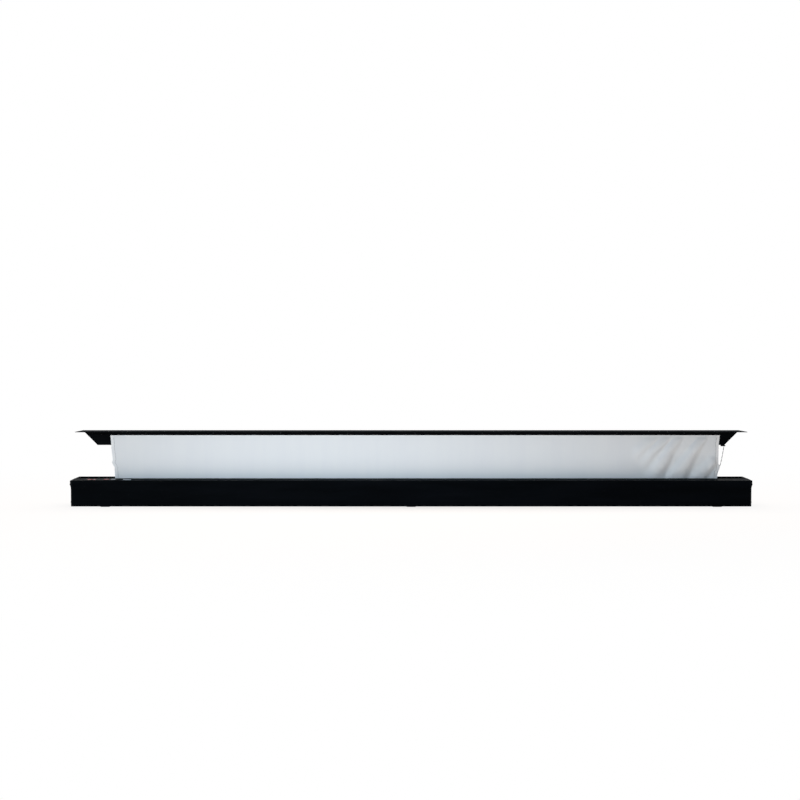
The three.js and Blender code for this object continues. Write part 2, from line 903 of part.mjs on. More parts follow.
sides.forEach(({ name, sign }) => {
  const out = sign * shoulderX;
  const tilt = sign < 0 ? -restAngle : Math.PI + restAngle;
  const back = sign < 0 ? Math.PI + restAngle : -restAngle;

  const shoulder = new THREE.Group();
  shoulder.position.set(out, 0, shoulderHeight);
  screen.add(shoulder);
  add(
    name + "_shoulder_bracket",
    bracket(lowerArmY, baseTop + seatGap - shoulderHeight, pinRadius + seatGap),
    finish.steel,
    shoulder,
  );
  add(name + "_shoulder_pin", pin(shoulderPinFront, shoulderPinBack, pinRadius), finish.steel, shoulder);

  const lower = new THREE.Group();
  lower.rotation.y = tilt;
  shoulder.add(lower);
  add(name + "_shoulder_knuckle", knuckle(lowerArmY, pinRadius + runningGap), finish.steel, lower);
  add(name + "_lower_tube", armTube(lowerArmY), finish.aluminium, lower);
  add(name + "_arm_spring", springCartridge(lowerArmY), finish.steel, lower);
  const lowerElbow = knuckle(-lowerArmY, elbowPinRadius + runningGap);
  const boss = cut(
    rodY(0, 0, -lowerArmY, -bossFront, elbowBoss),
    rodY(0, 0, -lowerArmY - overrun, -bossFront + overrun, elbowPinRadius + runningGap),
  );
  add(name + "_lower_elbow", turned(join(lowerElbow, boss)), finish.steel, lower);
  const elbowPin = add(
    name + "_elbow_pin",
    pin(elbowFront, elbowBack, elbowPinRadius),
    finish.steel,
    lower,
  );
  elbowPin.position.x = armLength;

  const upper = new THREE.Group();
  const reach = Math.cos(restAngle) * armLength;
  upper.position.set(out - sign * reach, 0, shoulderHeight + Math.sin(restAngle) * armLength);
  upper.rotation.y = back;
  screen.add(upper);
  const wristGap = sign < 0 ? runningGap : openPivotGap;
  add(name + "_upper_elbow", knuckle(upperArmY, elbowPinRadius + runningGap), finish.steel, upper);
  add(name + "_upper_tube", armTube(upperArmY), finish.aluminium, upper);
  add(name + "_wrist_knuckle", turned(knuckle(-upperArmY, pinRadius + wristGap)), finish.steel, upper);

  const wrist = new THREE.Group();
  wrist.position.set(out, 0, wristZ);
  screen.add(wrist);
  add(
    name + "_wrist_bracket",
    bracket(upperArmY, channelTop - seatGap - wristZ, pinRadius + seatGap),
    finish.steel,
    wrist,
  );
  add(name + "_wrist_pin", wristPin(), finish.steel, wrist);
});

// Lid, top beam and clamp rail

function topBeam() {
  const section = bentStrip(
    [
      [beamFront, beamBottom],
      [beamFront, beamTop, beamCorner],
      [beamRear, beamTop, beamCorner],
      [beamRear, beamBottom],
    ],
    beamWall,
  );
  const mitre = outline([
    [-beamHalfTop - overrun, beamTop + overrun],
    [beamHalfTop + overrun, beamTop + overrun],
    [beamHalfBottom - overrun, beamBottom - overrun],
    [-beamHalfBottom + overrun, beamBottom - overrun],
  ]);
  return meet(
    alongX(section, -beamHalfTop, beamHalfTop),
    alongY(mitre, beamFront - overrun, beamRear + overrun),
  );
}

// The cap closes the beam's slanted end; its tongue slides in under the web.
function beamCap(sign) {
  const near = seatGap * Math.SQRT2;
  const far = near + beamCapThickness * Math.SQRT2;
  const plate = alongY(
    outline([
      [sign * (beamHalfTop + near), beamTop],
      [sign * (beamHalfTop + far), beamTop],
      [sign * (beamHalfBottom + far), beamBottom],
      [sign * (beamHalfBottom + near), beamBottom],
    ]),
    beamFront,
    beamRear,
  );
  const tongueTop = channelTop - seatGap;
  const slant = beamHalfTop - (beamTop - tongueTop) + near;
  const tongue = alongY(
    outline([
      [sign * (slant - beamTongue), tongueTop],
      [sign * (slant + near), tongueTop],
      [sign * (slant + near - beamTongueHeight), tongueTop - beamTongueHeight],
      [sign * (slant - beamTongue), tongueTop - beamTongueHeight],
    ]),
    channelFront + seatGap,
    channelRear - seatGap,
  );
  return join(plate, tongue);
}

add(
  "lid_plate",
  alongZ(
    rectangle(
      -halfLength + lidInset,
      halfLength - lidInset,
      -halfDepth + lidFront,
      halfDepth - lidBack,
      upperCorner,
    ),
    lidBottom,
    lidTop,
  ),
  finish.case,
);
add("top_beam", topBeam(), finish.case);
sides.forEach(({ name, sign }) => add(name + "_beam_cap", beamCap(sign), finish.moulded));
add(
  "clamp_rail",
  alongX(
    outline([
      [clampRear - clampDepth, beamTop],
      [clampRear - clampDepth, clampBottom, clampNose],
      [clampRear, clampBottom],
      [clampRear, beamTop],
    ]),
    -halfLength + leftMarginTop - clampOverhang,
    halfLength - rightMarginTop + clampOverhang,
  ),
  finish.case,
);

// Sheet, tabs and tension cords

// Each crease leans from its foot at the deck to its head under the clamp rail. Feet and heads are
// shares of the sheet's width, and depth and width shares of the deepest crease.
const creaseShares = [
  { foot: 0.838, head: 0.9, depth: 0.35, width: 0.9, low: 0.35 },
  { foot: 0.862, head: 0.918, depth: 0.5, width: 0.8, low: 0.3 },
  { foot: 0.893, head: 0.938, depth: 0.6, width: 0.8, low: 0.35 },
  { foot: 0.936, head: 0.985, depth: 1, width: 1.1, low: 0 },
  { foot: 0.969, head: 1.03, depth: 0.8, width: 1, low: 0 },
];

const clothFoot = deckHeight;
const clothHead = beamTop;
const edgeLeft = (up) => -halfLength + leftMarginDeck + (leftMarginTop - leftMarginDeck) * up;
const edgeRight = (up) => halfLength - rightMarginDeck - (rightMarginTop - rightMarginDeck) * up;
const ease = (t) => {
  const held = Math.min(Math.max(t, 0), 1);
  return held * held * (3 - 2 * held);
};

// How far the sheet stands forward of its plane.
function creaseAt(across, up) {
  const height = clothHead - clothFoot;
  const tallTop = (clothHead - clampBottom + foldMargin) / height;
  const flat = ease((1 - tallTop - up) / (foldMargin / height)) * ease(up / (foldMargin / height));
  const width = edgeRight(up) - edgeLeft(up);
  return creaseShares.reduce((sum, crease) => {
    const away = (across - crease.foot - (crease.head - crease.foot) * up) * width;
    const ridge = Math.exp(-((away / (foldWidth * crease.width)) ** 2));
    const reach = ease((up - crease.low) / (1 - tallTop) + 1 - Math.sign(crease.low));
    return sum + foldDepth * crease.depth * ridge * reach * flat;
  }, 0);
}

// A closed sheet between two edges, its columns given as shares of the width.
function clothPanel(left, right, columns, rows, bulge) {
  const points = [];
  const faces = [];
  const across = columns.length;
  for (const back of [0, 1]) {
    rows.forEach((up) => {
      columns.forEach((at) => {
        const x = left(up) + (right(up) - left(up)) * at;
        const y = clothPlane + (back - 1 / 2) * clothThickness - bulge(at, up);
        points.push(x, y, clothFoot + (clothHead - clothFoot) * up);
      });
    });
  }
  const half = across * rows.length;
  const quad = (a, b, c, d) => faces.push(a, b, c, a, c, d);
  for (let row = 0; row + 1 < rows.length; row += 1) {
    const here = row * across;
    const above = here + across;
    for (let i = 0; i + 1 < across; i += 1) {
      quad(here + i, here + i + 1, above + i + 1, above + i);
      quad(half + above + i, half + above + i + 1, half + here + i + 1, half + here + i);
    }
    const last = across - 1;
    quad(half + here, here, above, half + above);
    quad(here + last, half + here + last, half + above + last, above + last);
  }
  const top = half - across;
  for (let i = 0; i + 1 < across; i += 1) {
    quad(half + i, half + i + 1, i + 1, i);
    quad(top + i, top + i + 1, half + top + i + 1, half + top + i);
  }
  const geometry = new THREE.BufferGeometry();
  geometry.setAttribute("position", new THREE.Float32BufferAttribute(points, 3));
  geometry.setIndex(faces);
  const flat = geometry.toNonIndexed();
  flat.computeVertexNormals();
  return flat;
}

const steps = (count) => Array.from({ length: count + 1 }, (_, i) => i / count);
const creased = steps(plainColumns)
  .map((t) => t * (1 - foldedShare))
  .concat(steps(foldedColumns).slice(1).map((t) => 1 - foldedShare + t * foldedShare));
const flatPanel = () => 0;

add(
  "screen_fabric",
  clothPanel(
    (up) => edgeLeft(up) + tabWidth + seatGap,
    (up) => edgeRight(up) - tabWidth - seatGap,
    creased,
    steps(clothRows),
    creaseAt,
  ),
  finish.cloth,
);
add(
  "left_tab",
  clothPanel(edgeLeft, (up) => edgeLeft(up) + tabWidth, [0, 1], steps(clothRows), flatPanel),
  finish.tab,
);
add(
  "right_tab",
  clothPanel(
    (up) => edgeRight(up) - tabWidth,
    edgeRight,
    [0, 1],
    steps(clothRows),
    flatPanel,
  ),
  finish.tab,
);
add(
  "fabric_feed",
  box(
    -halfLength + leftMarginDeck,
    halfLength - rightMarginDeck,
    clothPlane - clothThickness / 2,
    clothPlane + clothThickness / 2,
    rollerHeight,
    clothFoot - seatGap,
  ),
  finish.cloth,
);

// The anchor clips behind the beam's front wall; the cord leaves its nose.
function cordAnchor(x, lean) {
  const low = beamBottom - seatGap - anchorNose;
  const half = anchorWidth / 2;
  const behind = channelFront + seatGap;
  return join(
    box(x - half, x + half, behind, behind + anchorThickness, low, beamBottom + anchorHeight),
    box(
      x - half,
      x + half + lean,
      beamFront,
      behind + anchorThickness,
      low,
      beamBottom - seatGap,
    ),
  );
}

const cordTop = beamBottom - 2 * seatGap - anchorNose;
const cordY = clothPlane + cordBehindSheet;

function tensionCord(topX, footX) {
  const route = cordSwingShares.map((swing, i) => {
    const drop = cordDropShares[i];
    return new THREE.Vector3(
      topX + (footX - topX) * swing,
      cordY,
      cordTop + (cordFoot - cordTop) * drop,
    );
  });
  const path = new THREE.CatmullRomCurve3(route);
  return new THREE.ExtrudeGeometry(disc(0, 0, cordRadius), {
    steps: cordSteps,
    curveSegments: cordSides / 2,
    extrudePath: path,
  });
}

const leftCordX = -halfLength + leftCordInset;
const rightCordX = halfLength - rightCordInset;
add("left_cord_anchor", cordAnchor(leftCordX, 0), finish.moulded);
add("right_cord_anchor", cordAnchor(rightCordX - anchorReach, anchorReach), finish.moulded);
add("left_cord", tensionCord(leftCordX, -halfLength + leftCordFootInset), finish.cord);
add("right_cord", tensionCord(rightCordX, halfLength - rightCordFootInset), finish.cord);

// The limits of the main shoulder joint, which the lid's closed and highest places set.
const closedAngle = Math.asin((wristZ - liftAtRest - shoulderHeight) / (2 * armLength));
const topAngle = Math.asin(
  (wristZ - liftAtRest + liftAtTop - shoulderHeight) / (2 * armLength),
);
screen.userData.shoulderRange = [closedAngle - restAngle, topAngle - restAngle];

export default screen;
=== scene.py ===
"""Looks of a floor-rising projection screen: its case, folding arms, lid and tab-tensioned sheet.

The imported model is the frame. Rigid pieces take their outline from it, with every corner broken as
a real part's is. The sheet, its tabs and cords, the wound roll, and the screws, rivets and printed
marks are made here. Sizes in the classes are millimetres: X right, Y back, Z up.
"""

import logging
import math
from dataclasses import dataclass, replace
from enum import Enum
from typing import Callable

import bmesh
import bpy
from bmesh.types import BMesh, BMEdge, BMVert
from bpy.types import ID, Material, Node, NodeSocket, NodeTree, Object, World
from mathutils import Matrix, Quaternion, Vector, noise


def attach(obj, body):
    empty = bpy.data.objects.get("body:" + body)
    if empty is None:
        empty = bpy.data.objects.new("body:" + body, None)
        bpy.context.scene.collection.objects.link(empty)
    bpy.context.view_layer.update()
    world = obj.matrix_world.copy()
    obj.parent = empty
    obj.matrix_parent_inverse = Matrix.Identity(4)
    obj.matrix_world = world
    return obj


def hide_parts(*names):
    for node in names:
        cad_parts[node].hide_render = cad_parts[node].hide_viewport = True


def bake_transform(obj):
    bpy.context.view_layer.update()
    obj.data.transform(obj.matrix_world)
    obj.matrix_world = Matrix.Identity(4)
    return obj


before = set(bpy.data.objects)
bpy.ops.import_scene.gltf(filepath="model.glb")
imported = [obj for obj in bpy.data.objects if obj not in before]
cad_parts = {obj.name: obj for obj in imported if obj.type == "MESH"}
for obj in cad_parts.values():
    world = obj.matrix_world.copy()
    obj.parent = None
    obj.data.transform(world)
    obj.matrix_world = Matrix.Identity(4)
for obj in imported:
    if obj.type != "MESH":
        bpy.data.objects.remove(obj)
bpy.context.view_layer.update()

LOG = logging.getLogger("projection_screen")
MM = 0.001
SHARP = math.radians(30)
REST_ANGLE = math.radians(5.755)
WHITE = "#FFFFFF"

Point = tuple[float, float, float]
Pair = tuple[float, float]
Colour = tuple[float, float, float, float]


# Numbers and colours


def linear(code: str) -> Colour:
    """Turns an sRGB hex value into a linear colour.

    Args:
        code: The value, as "#RRGGBB".

    Returns:
        The colour, opaque.
    """
    channels = [int(code[at : at + 2], 16) / 255 for at in (1, 3, 5)]
    red, green, blue = [
        c / 12.92 if c <= 0.04045 else ((c + 0.055) / 1.055) ** 2.4 for c in channels
    ]
    return (red, green, blue, 1.0)


def even(size: float) -> Point:
    """The same size along X, Y and Z."""
    return (size, size, size)


def rise(ends: Pair, at: float) -> float:
    """Rises smoothly from 0 at the first end to 1 at the second."""
    share = min(max((at - ends[0]) / (ends[1] - ends[0]), 0.0), 1.0)
    return share * share * (3 - 2 * share)


def between(low: float, high: float, share: float) -> float:
    """The value that lies a share of the way from low to high."""
    return low + (high - low) * share


def two_paced(ends: Pair, turn: Pair, share: float) -> float:
    """Goes between two ends at one pace up to the turn's (share, value), then at another.

    Args:
        ends: The values at a share of 0 and of 1.
        turn: The share and the value at which the pace changes.
        share: How far along the whole way.

    Returns:
        The value there.
    """
    if share < turn[0]:
        return between(ends[0], turn[1], share / turn[0])
    return between(turn[1], ends[1], (share - turn[0]) / (1 - turn[0]))


def along_knots(knots: tuple[Pair, ...], at: float) -> float:
    """Reads a smooth line through points given as (place, value), in rising order of place.

    Args:
        knots: The points.
        at: The place to read it at.

    Returns:
        The value there.
    """
    for (near, first), (far, last) in zip(knots, knots[1:]):
        if at <= far:
            return between(first, last, rise((near, far), at))
    return knots[-1][1]


# Nodes


def emptied(owner: Material | World) -> NodeTree:
    """Gives a material or world an empty node tree.

    Args:
        owner: The material or world.

    Returns:
        The tree.
    """
    owner.use_nodes = True
    owner.node_tree.nodes.clear()
    return owner.node_tree


def add_node(
    tree: NodeTree,
    kind: str,
    settings: dict | None = None,
    links: dict[str | int, NodeSocket] | None = None,
) -> Node:
    """Adds a node to a tree.

    Args:
        tree: The material's or world's node tree.
        kind: The node's type name, after "ShaderNode".
        settings: Lower-case keys are the node's own settings, "ramp" holds the (place, sRGB hex
            value) stops of a colour ramp, and other keys are inputs that stay constant.
        links: The sockets that feed its inputs.

    Returns:
        The new node.
    """
    node = tree.nodes.new("ShaderNode" + kind)
    for key, value in (settings or {}).items():
        if key == "ramp":
            stops = node.color_ramp.elements
            for index, (place, code) in enumerate(value):
                stop = stops[index] if index < 2 else stops.new(place)
                stop.position = place
                stop.color = linear(code)
        elif isinstance(key, str) and key[0].islower():
            setattr(node, key, value)
        else:
            node.inputs[key].default_value = value
    for key, socket in (links or {}).items():
        tree.links.new(socket, node.inputs[key])
    return node


# Materials


def clouds(detail: float) -> dict:
    """The settings of a noise texture whose clouds are about one unit wide."""
    return {"Scale": 1.0, "Detail": detail, "Roughness": 0.6}


def bands(way: str, stray: float, detail: float = 2.0) -> dict:
    """The settings of a wave texture whose bands lie one unit apart and stray from straight."""
    return {"bands_direction": way, "Scale": 0.314, "Distortion": stray, "Detail": detail}


@dataclass(frozen=True)
class Finish:
    """A surface, named for its material and for how it was made.

    Attributes:
        name: The material's name.
        slot: The name of the slot that the finish belongs to; nothing reads it.
        colour: The surface's own colour.
        worn: The colour where it is dusty, rubbed or unevenly coated.
        roughness: Its mean roughness.
        spread: How far the roughness strays from that mean.
        metallic: 1 on bare metal.
        specular: The strength of a coat's gloss.
        patch: The size of the colour's patches along X, Y and Z.
        grain: The size of the surface's grain along X, Y and Z.
        depth: The height of that grain.
        turn: The turn of both patterns about Y, on a piece that leans.
    """

    name: str
    slot: str
    colour: str
    worn: str
    roughness: float
    spread: float = 0.06
    metallic: float = 0.0
    specular: float = 0.5
    patch: Point = even(70.0)
    grain: Point = even(1.0)
    depth: float = 0.02
    turn: float = 0.0

    def material(self) -> Material:
        """Makes the material, or returns it where it is already made.

        Returns:
            The material.
        """
        known = bpy.data.materials.get(self.name)
        if known:
            return known
        made = bpy.data.materials.new(self.name)
        tree = emptied(made)
        where = add_node(tree, "TexCoord").outputs["Object"]
        settings = {"Strength": 1.0, "Distance": self.depth * MM}
        bump = add_node(tree, "Bump", settings, {"Height": self.relief(tree, where)})
        settings = {"Metallic": self.metallic, "Specular IOR Level": self.specular}
        links = {
            "Base Color": self.tone(tree, where), "Roughness": self.gloss(tree, where),
            "Normal": bump.outputs[0],
        }
        shader = add_node(tree, "BsdfPrincipled", settings, links)
        add_node(tree, "OutputMaterial", None, {"Surface": shader.outputs[0]})
        return made

    def pattern(
        self, tree: NodeTree, where: NodeSocket, size: Point, kind: str, settings: dict
    ) -> NodeSocket:
        """Adds a texture whose features are one unit wide, at their real size.

        Args:
            tree: The material's node tree.
            where: Its Object coordinates.
            size: The millimetres along X, Y and Z that one unit stands for.
            kind: The texture's type name.
            settings: Its settings, as add_node takes them.

        Returns:
            The texture's value.
        """
        scale = tuple(axis * MM for axis in size)
        turned = {"vector_type": "TEXTURE", "Rotation": (0.0, self.turn, 0.0), "Scale": scale}
        place = add_node(tree, "Mapping", turned, {"Vector": where})
        outputs = add_node(tree, kind, settings, {"Vector": place.outputs[0]}).outputs
        return outputs.get("Fac", outputs[0])

    def tone(self, tree: NodeTree, where: NodeSocket) -> NodeSocket:
        """The colour, with its patches.

        Args:
            tree: The material's node tree.
            where: Its Object coordinates.

        Returns:
            The colour.
        """
        stops = ((0.38, self.colour), (0.78, self.worn))
        patches = self.pattern(tree, where, self.patch, "TexNoise", clouds(5.0))
        return add_node(tree, "ValToRGB", {"ramp": stops}, {"Fac": patches}).outputs[0]

    def gloss(self, tree: NodeTree, where: NodeSocket) -> NodeSocket:
        """The roughness, uneven in patches a third as wide as the colour's.

        Args:
            tree: The material's node tree.
            where: Its Object coordinates.

        Returns:
            The roughness.
        """
        low, high = self.roughness - self.spread, self.roughness + self.spread
        settings = {"From Min": 0.3, "From Max": 0.7, "To Min": low, "To Max": high}
        size = tuple(axis / 3 for axis in self.patch)
        patches = self.pattern(tree, where, size, "TexNoise", clouds(3.0))
        return add_node(tree, "MapRange", settings, {"Value": patches}).outputs[0]

    def relief(self, tree: NodeTree, where: NodeSocket) -> NodeSocket:
        """The height of the grain."""
        return self.pattern(tree, where, self.grain, "TexNoise", clouds(4.0))


@dataclass(frozen=True)
class Extruded(Finish):
    """Metal drawn through a die, which leaves faint lines along its whole length."""

    pit: Point = even(2.5)
    pit_share: float = 0.25

    def relief(self, tree: NodeTree, where: NodeSocket) -> NodeSocket:
        """Die lines with a few pits among them.

        Args:
            tree: The material's node tree.
            where: Its Object coordinates.

        Returns:
            Their height.
        """
        lines = self.pattern(tree, where, self.grain, "TexNoise", clouds(2.0))
        pits = self.pattern(tree, where, self.pit, "TexNoise", clouds(1.0))
        settings = {"operation": "MULTIPLY_ADD", 1: self.pit_share}
        return add_node(tree, "Math", settings, {0: pits, 2: lines}).outputs[0]


@dataclass(frozen=True)
class PowderCoated(Finish):
    """Powder melted on in an oven, which settles into shallow rounded cells like orange peel."""

    def relief(self, tree: NodeTree, where: NodeSocket) -> NodeSocket:
        """Rounded cells."""
        settings = {"feature": "SMOOTH_F1", "Scale": 1.0, "Smoothness": 0.8}
        return self.pattern(tree, where, self.grain, "TexVoronoi", settings)


@dataclass(frozen=True)
class Moulded(Finish):
    """Plastic or rubber from a spark-eroded mould, which prints an even sandy grain."""

    sink: Point = even(28.0)
    sink_share: float = 2.0

    def relief(self, tree: NodeTree, where: NodeSocket) -> NodeSocket:
        """Sandy grain over the broad, slight sinking of a moulded wall.

        Args:
            tree: The material's node tree.
            where: Its Object coordinates.

        Returns:
            Its height.
        """
        sand = self.pattern(tree, where, self.grain, "TexNoise", clouds(6.0))
        broad = self.pattern(tree, where, self.sink, "TexNoise", clouds(1.0))
        settings = {"operation": "MULTIPLY_ADD", 1: self.sink_share}
        return add_node(tree, "Math", settings, {0: broad, 2: sand}).outputs[0]


@dataclass(frozen=True)
class Plated(Finish):
    """Steel under an electroplated, passivated coat, with bluish and straw-coloured clouds."""

    tint: str = "#B9B5A3"

    def tone(self, tree: NodeTree, where: NodeSocket) -> NodeSocket:
        """The plate's colour, drifting between blue-grey, grey and straw.

        Args:
            tree: The material's node tree.
            where: Its Object coordinates.

        Returns:
            The colour.
        """
        stops = ((0.3, self.colour), (0.52, self.worn), (0.72, self.tint))
        drift = self.pattern(tree, where, self.patch, "TexNoise", clouds(3.0))
        return add_node(tree, "ValToRGB", {"ramp": stops}, {"Fac": drift}).outputs[0]


@dataclass(frozen=True)
class CoatedCloth(Finish):
    """Woven base cloth under a matt white coat, whose threads print through as a fine check."""

    fall: Point = (46.0, 46.0, 620.0)
    swell: float = 0.2

    def tone(self, tree: NodeTree, where: NodeSocket) -> NodeSocket:
        """White with faint upright bands, where the coat was spread along the web.

        Args:
            tree: The material's node tree.
            where: Its Object coordinates.

        Returns:
            The colour.
        """
        stops = ((0.3, self.worn), (0.62, self.colour))
        drift = self.pattern(tree, where, self.fall, "TexNoise", clouds(3.0))
        return add_node(tree, "ValToRGB", {"ramp": stops}, {"Fac": drift}).outputs[0]

    def relief(self, tree: NodeTree, where: NodeSocket) -> NodeSocket:
        """Threads both ways, on the slow swell of cloth under tension.

        Args:
            tree: The material's node tree.
            where: Its Object coordinates.

        Returns:
            Their height.
        """
        weft, warp = (
            self.pattern(tree, where, self.grain, "TexWave", bands(way, 0.3)) for way in ("X", "Z")
        )
        check = add_node(tree, "Math", {"operation": "MULTIPLY"}, {0: weft, 1: warp}).outputs[0]
        slow = self.pattern(tree, where, self.fall, "TexNoise", clouds(1.0))
        settings = {"operation": "MULTIPLY_ADD", 1: self.swell}
        return add_node(tree, "Math", settings, {0: slow, 2: check}).outputs[0]


@dataclass(frozen=True)
class WeldedBand(Finish):
    """Film welded on with a hot roller, which presses a ladder of short bars into it."""

    def relief(self, tree: NodeTree, where: NodeSocket) -> NodeSocket:
        """Bars across the band."""
        return self.pattern(tree, where, self.grain, "TexWave", bands("Z", 0.6, 1.0))


@dataclass(frozen=True)
class Braided(Finish):
    """Polyester braid with a pale tracer yarn, which comes round to the front at an even step."""

    step: float = 9.0

    def tone(self, tree: NodeTree, where: NodeSocket) -> NodeSocket:
        """Dark yarn with a pale fleck at each turn of the tracer.

        Args:
            tree: The material's node tree.
            where: Its Object coordinates.

        Returns:
            The colour.
        """
        stops = ((0.64, self.colour), (0.76, self.worn))
        turns = self.pattern(tree, where, even(self.step), "TexWave", bands("Z", 0.8, 1.0))
        return add_node(tree, "ValToRGB", {"ramp": stops}, {"Fac": turns}).outputs[0]

    def relief(self, tree: NodeTree, where: NodeSocket) -> NodeSocket:
        """Strands that cross at a slant."""
        return self.pattern(tree, where, self.grain, "TexWave", bands("DIAGONAL", 1.0))


# Satin black anodised aluminium: the dye goes deep, so the face is nearly black, and light only
# lies on it at a low angle. Die lines are 0.3 mm apart; they are drawn 2.4 mm apart to show.
CASE_COAT = Extruded(
    "anodised_aluminium_case", "black_case", "#030507", "#080B0F", 0.52, 0.07, specular=0.011,
    patch=(420.0, 60.0, 60.0), grain=(900.0, 2.4, 2.4), depth=0.012,
)
# Matt black powder coat: no clear reflection, only a soft bloom along the edges. Its cells are
# about 1 mm across and are drawn 1.6 mm.
LID_COAT = PowderCoated(
    "powder_coated_aluminium_lid", "black_lid", "#08090B", "#101214", 0.76, 0.06, specular=0.005,
    patch=(160.0, 80.0, 80.0), grain=even(1.6),
)
# The same powder, thicker, on a pressure die casting whose skin is less even.
CASTING_COAT = PowderCoated(
    "powder_coated_die_casting", "arm_casting", "#15171A", "#26292D", 0.5, 0.08, specular=0.3,
    patch=even(22.0), grain=even(1.3), depth=0.05,
)
# Stoved paint on the gas springs' steel cylinders, thinner and smoother than powder.
SPRING_PAINT = replace(
    CASTING_COAT, name="painted_steel_cylinder", slot="plated_steel", depth=0.01
)
# Spark-eroded black ABS: an even sandy grain, 0.1 mm deep on the tool and drawn 0.9 mm wide.
BLACK_ABS = Moulded(
    "moulded_abs_black", "black_moulding", "#050709", "#0D1013", 0.52, 0.08, specular=0.035,
    patch=even(34.0), grain=even(0.9),
)
# Moulded rubber, dull and greyed by dust where it meets the floor.
RUBBER = Moulded(
    "moulded_rubber_black", "black_rubber", "#0C0C0D", "#232322", 0.8, specular=0.2,
    patch=even(12.0), grain=even(1.2), depth=0.03,
)
# Mill-finish extrusion: bare, slightly cloudy metal with long die lines.
MILL_ALUMINIUM = Extruded(
    "mill_finish_aluminium", "mill_aluminium", "#A9ABAE", "#8D9094", 0.36, 0.08, metallic=1.0,
    patch=(300.0, 24.0, 24.0), grain=(700.0, 1.8, 1.8), depth=0.015,
)
# Black anodised tube: darker and silkier than the case, with its lines along the arm.
ARM_RISING = Extruded(
    "anodised_aluminium_arm_rising", "arm_aluminium", "#17191C", "#282B2F", 0.34, specular=0.35,
    patch=(260.0, 20.0, 20.0), grain=(600.0, 1.6, 1.6), depth=0.012, turn=-REST_ANGLE,
)
ARM_FALLING = replace(ARM_RISING, name="anodised_aluminium_arm_falling", turn=REST_ANGLE)
# Zinc plate, passivated: pale grey metal with faint blue and straw clouds.
ZINC = Plated(
    "zinc_plated_steel", "plated_steel", "#A3AAB2", "#B4B6B6", 0.34, 0.1, metallic=1.0,
    patch=even(26.0), grain=(6.0, 0.8, 0.8), depth=0.008,
)
# Hard chrome on the gas springs' rods: brighter, with the ring marks of grinding.
CHROME = Plated(
    "chromed_steel_rod", "plated_steel", "#C6CACD", "#D2D4D5", 0.16, 0.05, metallic=1.0,
    patch=(40.0, 10.0, 10.0), grain=(0.6, 8.0, 8.0), depth=0.004, tint="#CBCBC8",
)
# Nickel-plated brass contact blades: warm, smooth metal.
NICKEL = Plated(
    "nickel_plated_contact", "black_moulding", "#BDB8AE", "#CBC6BA", 0.22, metallic=1.0,
    patch=even(5.0), grain=even(0.5), depth=0.004, tint="#D2C7A8",
)
# Blackened steel screws: oil-dark, with bare metal starting to show on the rims.
BLACK_SCREW = Plated(
    "blackened_steel_screw", "black_moulding", "#1A1B1D", "#26282A", 0.38, 0.08, metallic=1.0,
    patch=even(3.0), grain=even(0.5), depth=0.01, tint="#3B3D3F",
)
# PVC-coated polyester: matt white and faintly cool. Threads are 0.5 mm apart; drawn 1.5 mm.
SCREEN_CLOTH = CoatedCloth(
    "pvc_coated_screen_cloth", "screen_cloth", "#E6E9EA", "#E4E7E9", 0.72, 0.05, specular=0.25,
    patch=even(90.0), grain=even(1.5),
)
# The tabs' film: the same white, a little brighter and glossier, with weld bars 3 mm apart.
TAB_FILM = WeldedBand(
    "welded_pvc_tab_film", "tab_film", "#ECEDED", "#E5E8E9", 0.5, 0.08, specular=0.3,
    patch=(14.0, 14.0, 40.0), grain=even(3.0), depth=0.05,
)
# Braided polyester cord, dark with pale flecks that read as dots from a few steps away.
TENSION_BRAID = Braided(
    "braided_polyester_cord", "tension_cord", "#08090B", "#C4C6C8", 0.75, 0.05, specular=0.05,
    grain=even(1.2), depth=0.12, step=18.0,
)
# Bonded sewing thread that holds the tab, a dull grey against the white.
THREAD = Braided(
    "bonded_polyester_thread", "tab_film", "#8A8B8C", "#9C9C9B", 0.65, 0.05, specular=0.3,
    grain=even(0.4), depth=0.05, step=1.2,
)
# Red switch parts, moulded in a polished tool: even colour with a soft gloss.
RED_ABS = Moulded(
    "moulded_abs_red", "red_plastic", "#A8141F", "#94101A", 0.34, 0.05, specular=0.16,
    patch=even(9.0), grain=even(0.7), depth=0.004,
)
GREY_ABS = replace(
    RED_ABS, name="moulded_abs_grey", slot="grey_plastic", colour="#A3A8AC", worn="#94999D",
    specular=0.5,
)
# Pad-printed white ink, thin and slightly uneven.
WHITE_INK = Moulded(
    "pad_printed_ink_white", "grey_plastic", "#E4E4E0", "#CFCFCA", 0.55, 0.05, specular=0.4,
    patch=even(1.5), grain=even(0.3), depth=0.005,
)
DARK_INK = replace(WHITE_INK, name="pad_printed_ink_dark", colour="#1E2124", worn="#2A2D30")
# A bare foil plate, satin silver under clear film.
LABEL_FOIL = Moulded(
    "satin_foil_plate", "grey_plastic", "#B7BDC2", "#A9B0B6", 0.38,
    patch=even(8.0), grain=even(0.8), depth=0.004,
)


# Shapes

# Half the width of a cross recess's arm, as a share of its length, and the sine below which a
# direction counts as lying along the arm.
CROSS_ARM = 0.3
NO_ANGLE = 0.05


class Drive(Enum):
    """The outline of a ring of points: a round one, or what a driver fits."""

    ROUND = "round"
    HEX = "hex"
    CROSS = "cross"

    def reach(self, size: float, turn: float) -> float:
        """How far the outline lies from its middle in one direction.

        Args:
            size: Half its width over the flats, or the length of a cross's arm.
            turn: The direction, in radians.

        Returns:
            The distance from the middle.
        """
        if self is Drive.HEX:
            sector = math.pi / 3
            return size / math.cos(turn % sector - sector / 2)
        if self is Drive.CROSS:
            off_arm = abs((turn + math.pi / 4) % (math.pi / 2) - math.pi / 4)
            return min(size, CROSS_ARM * size / max(math.sin(off_arm), NO_ANGLE))
        return size


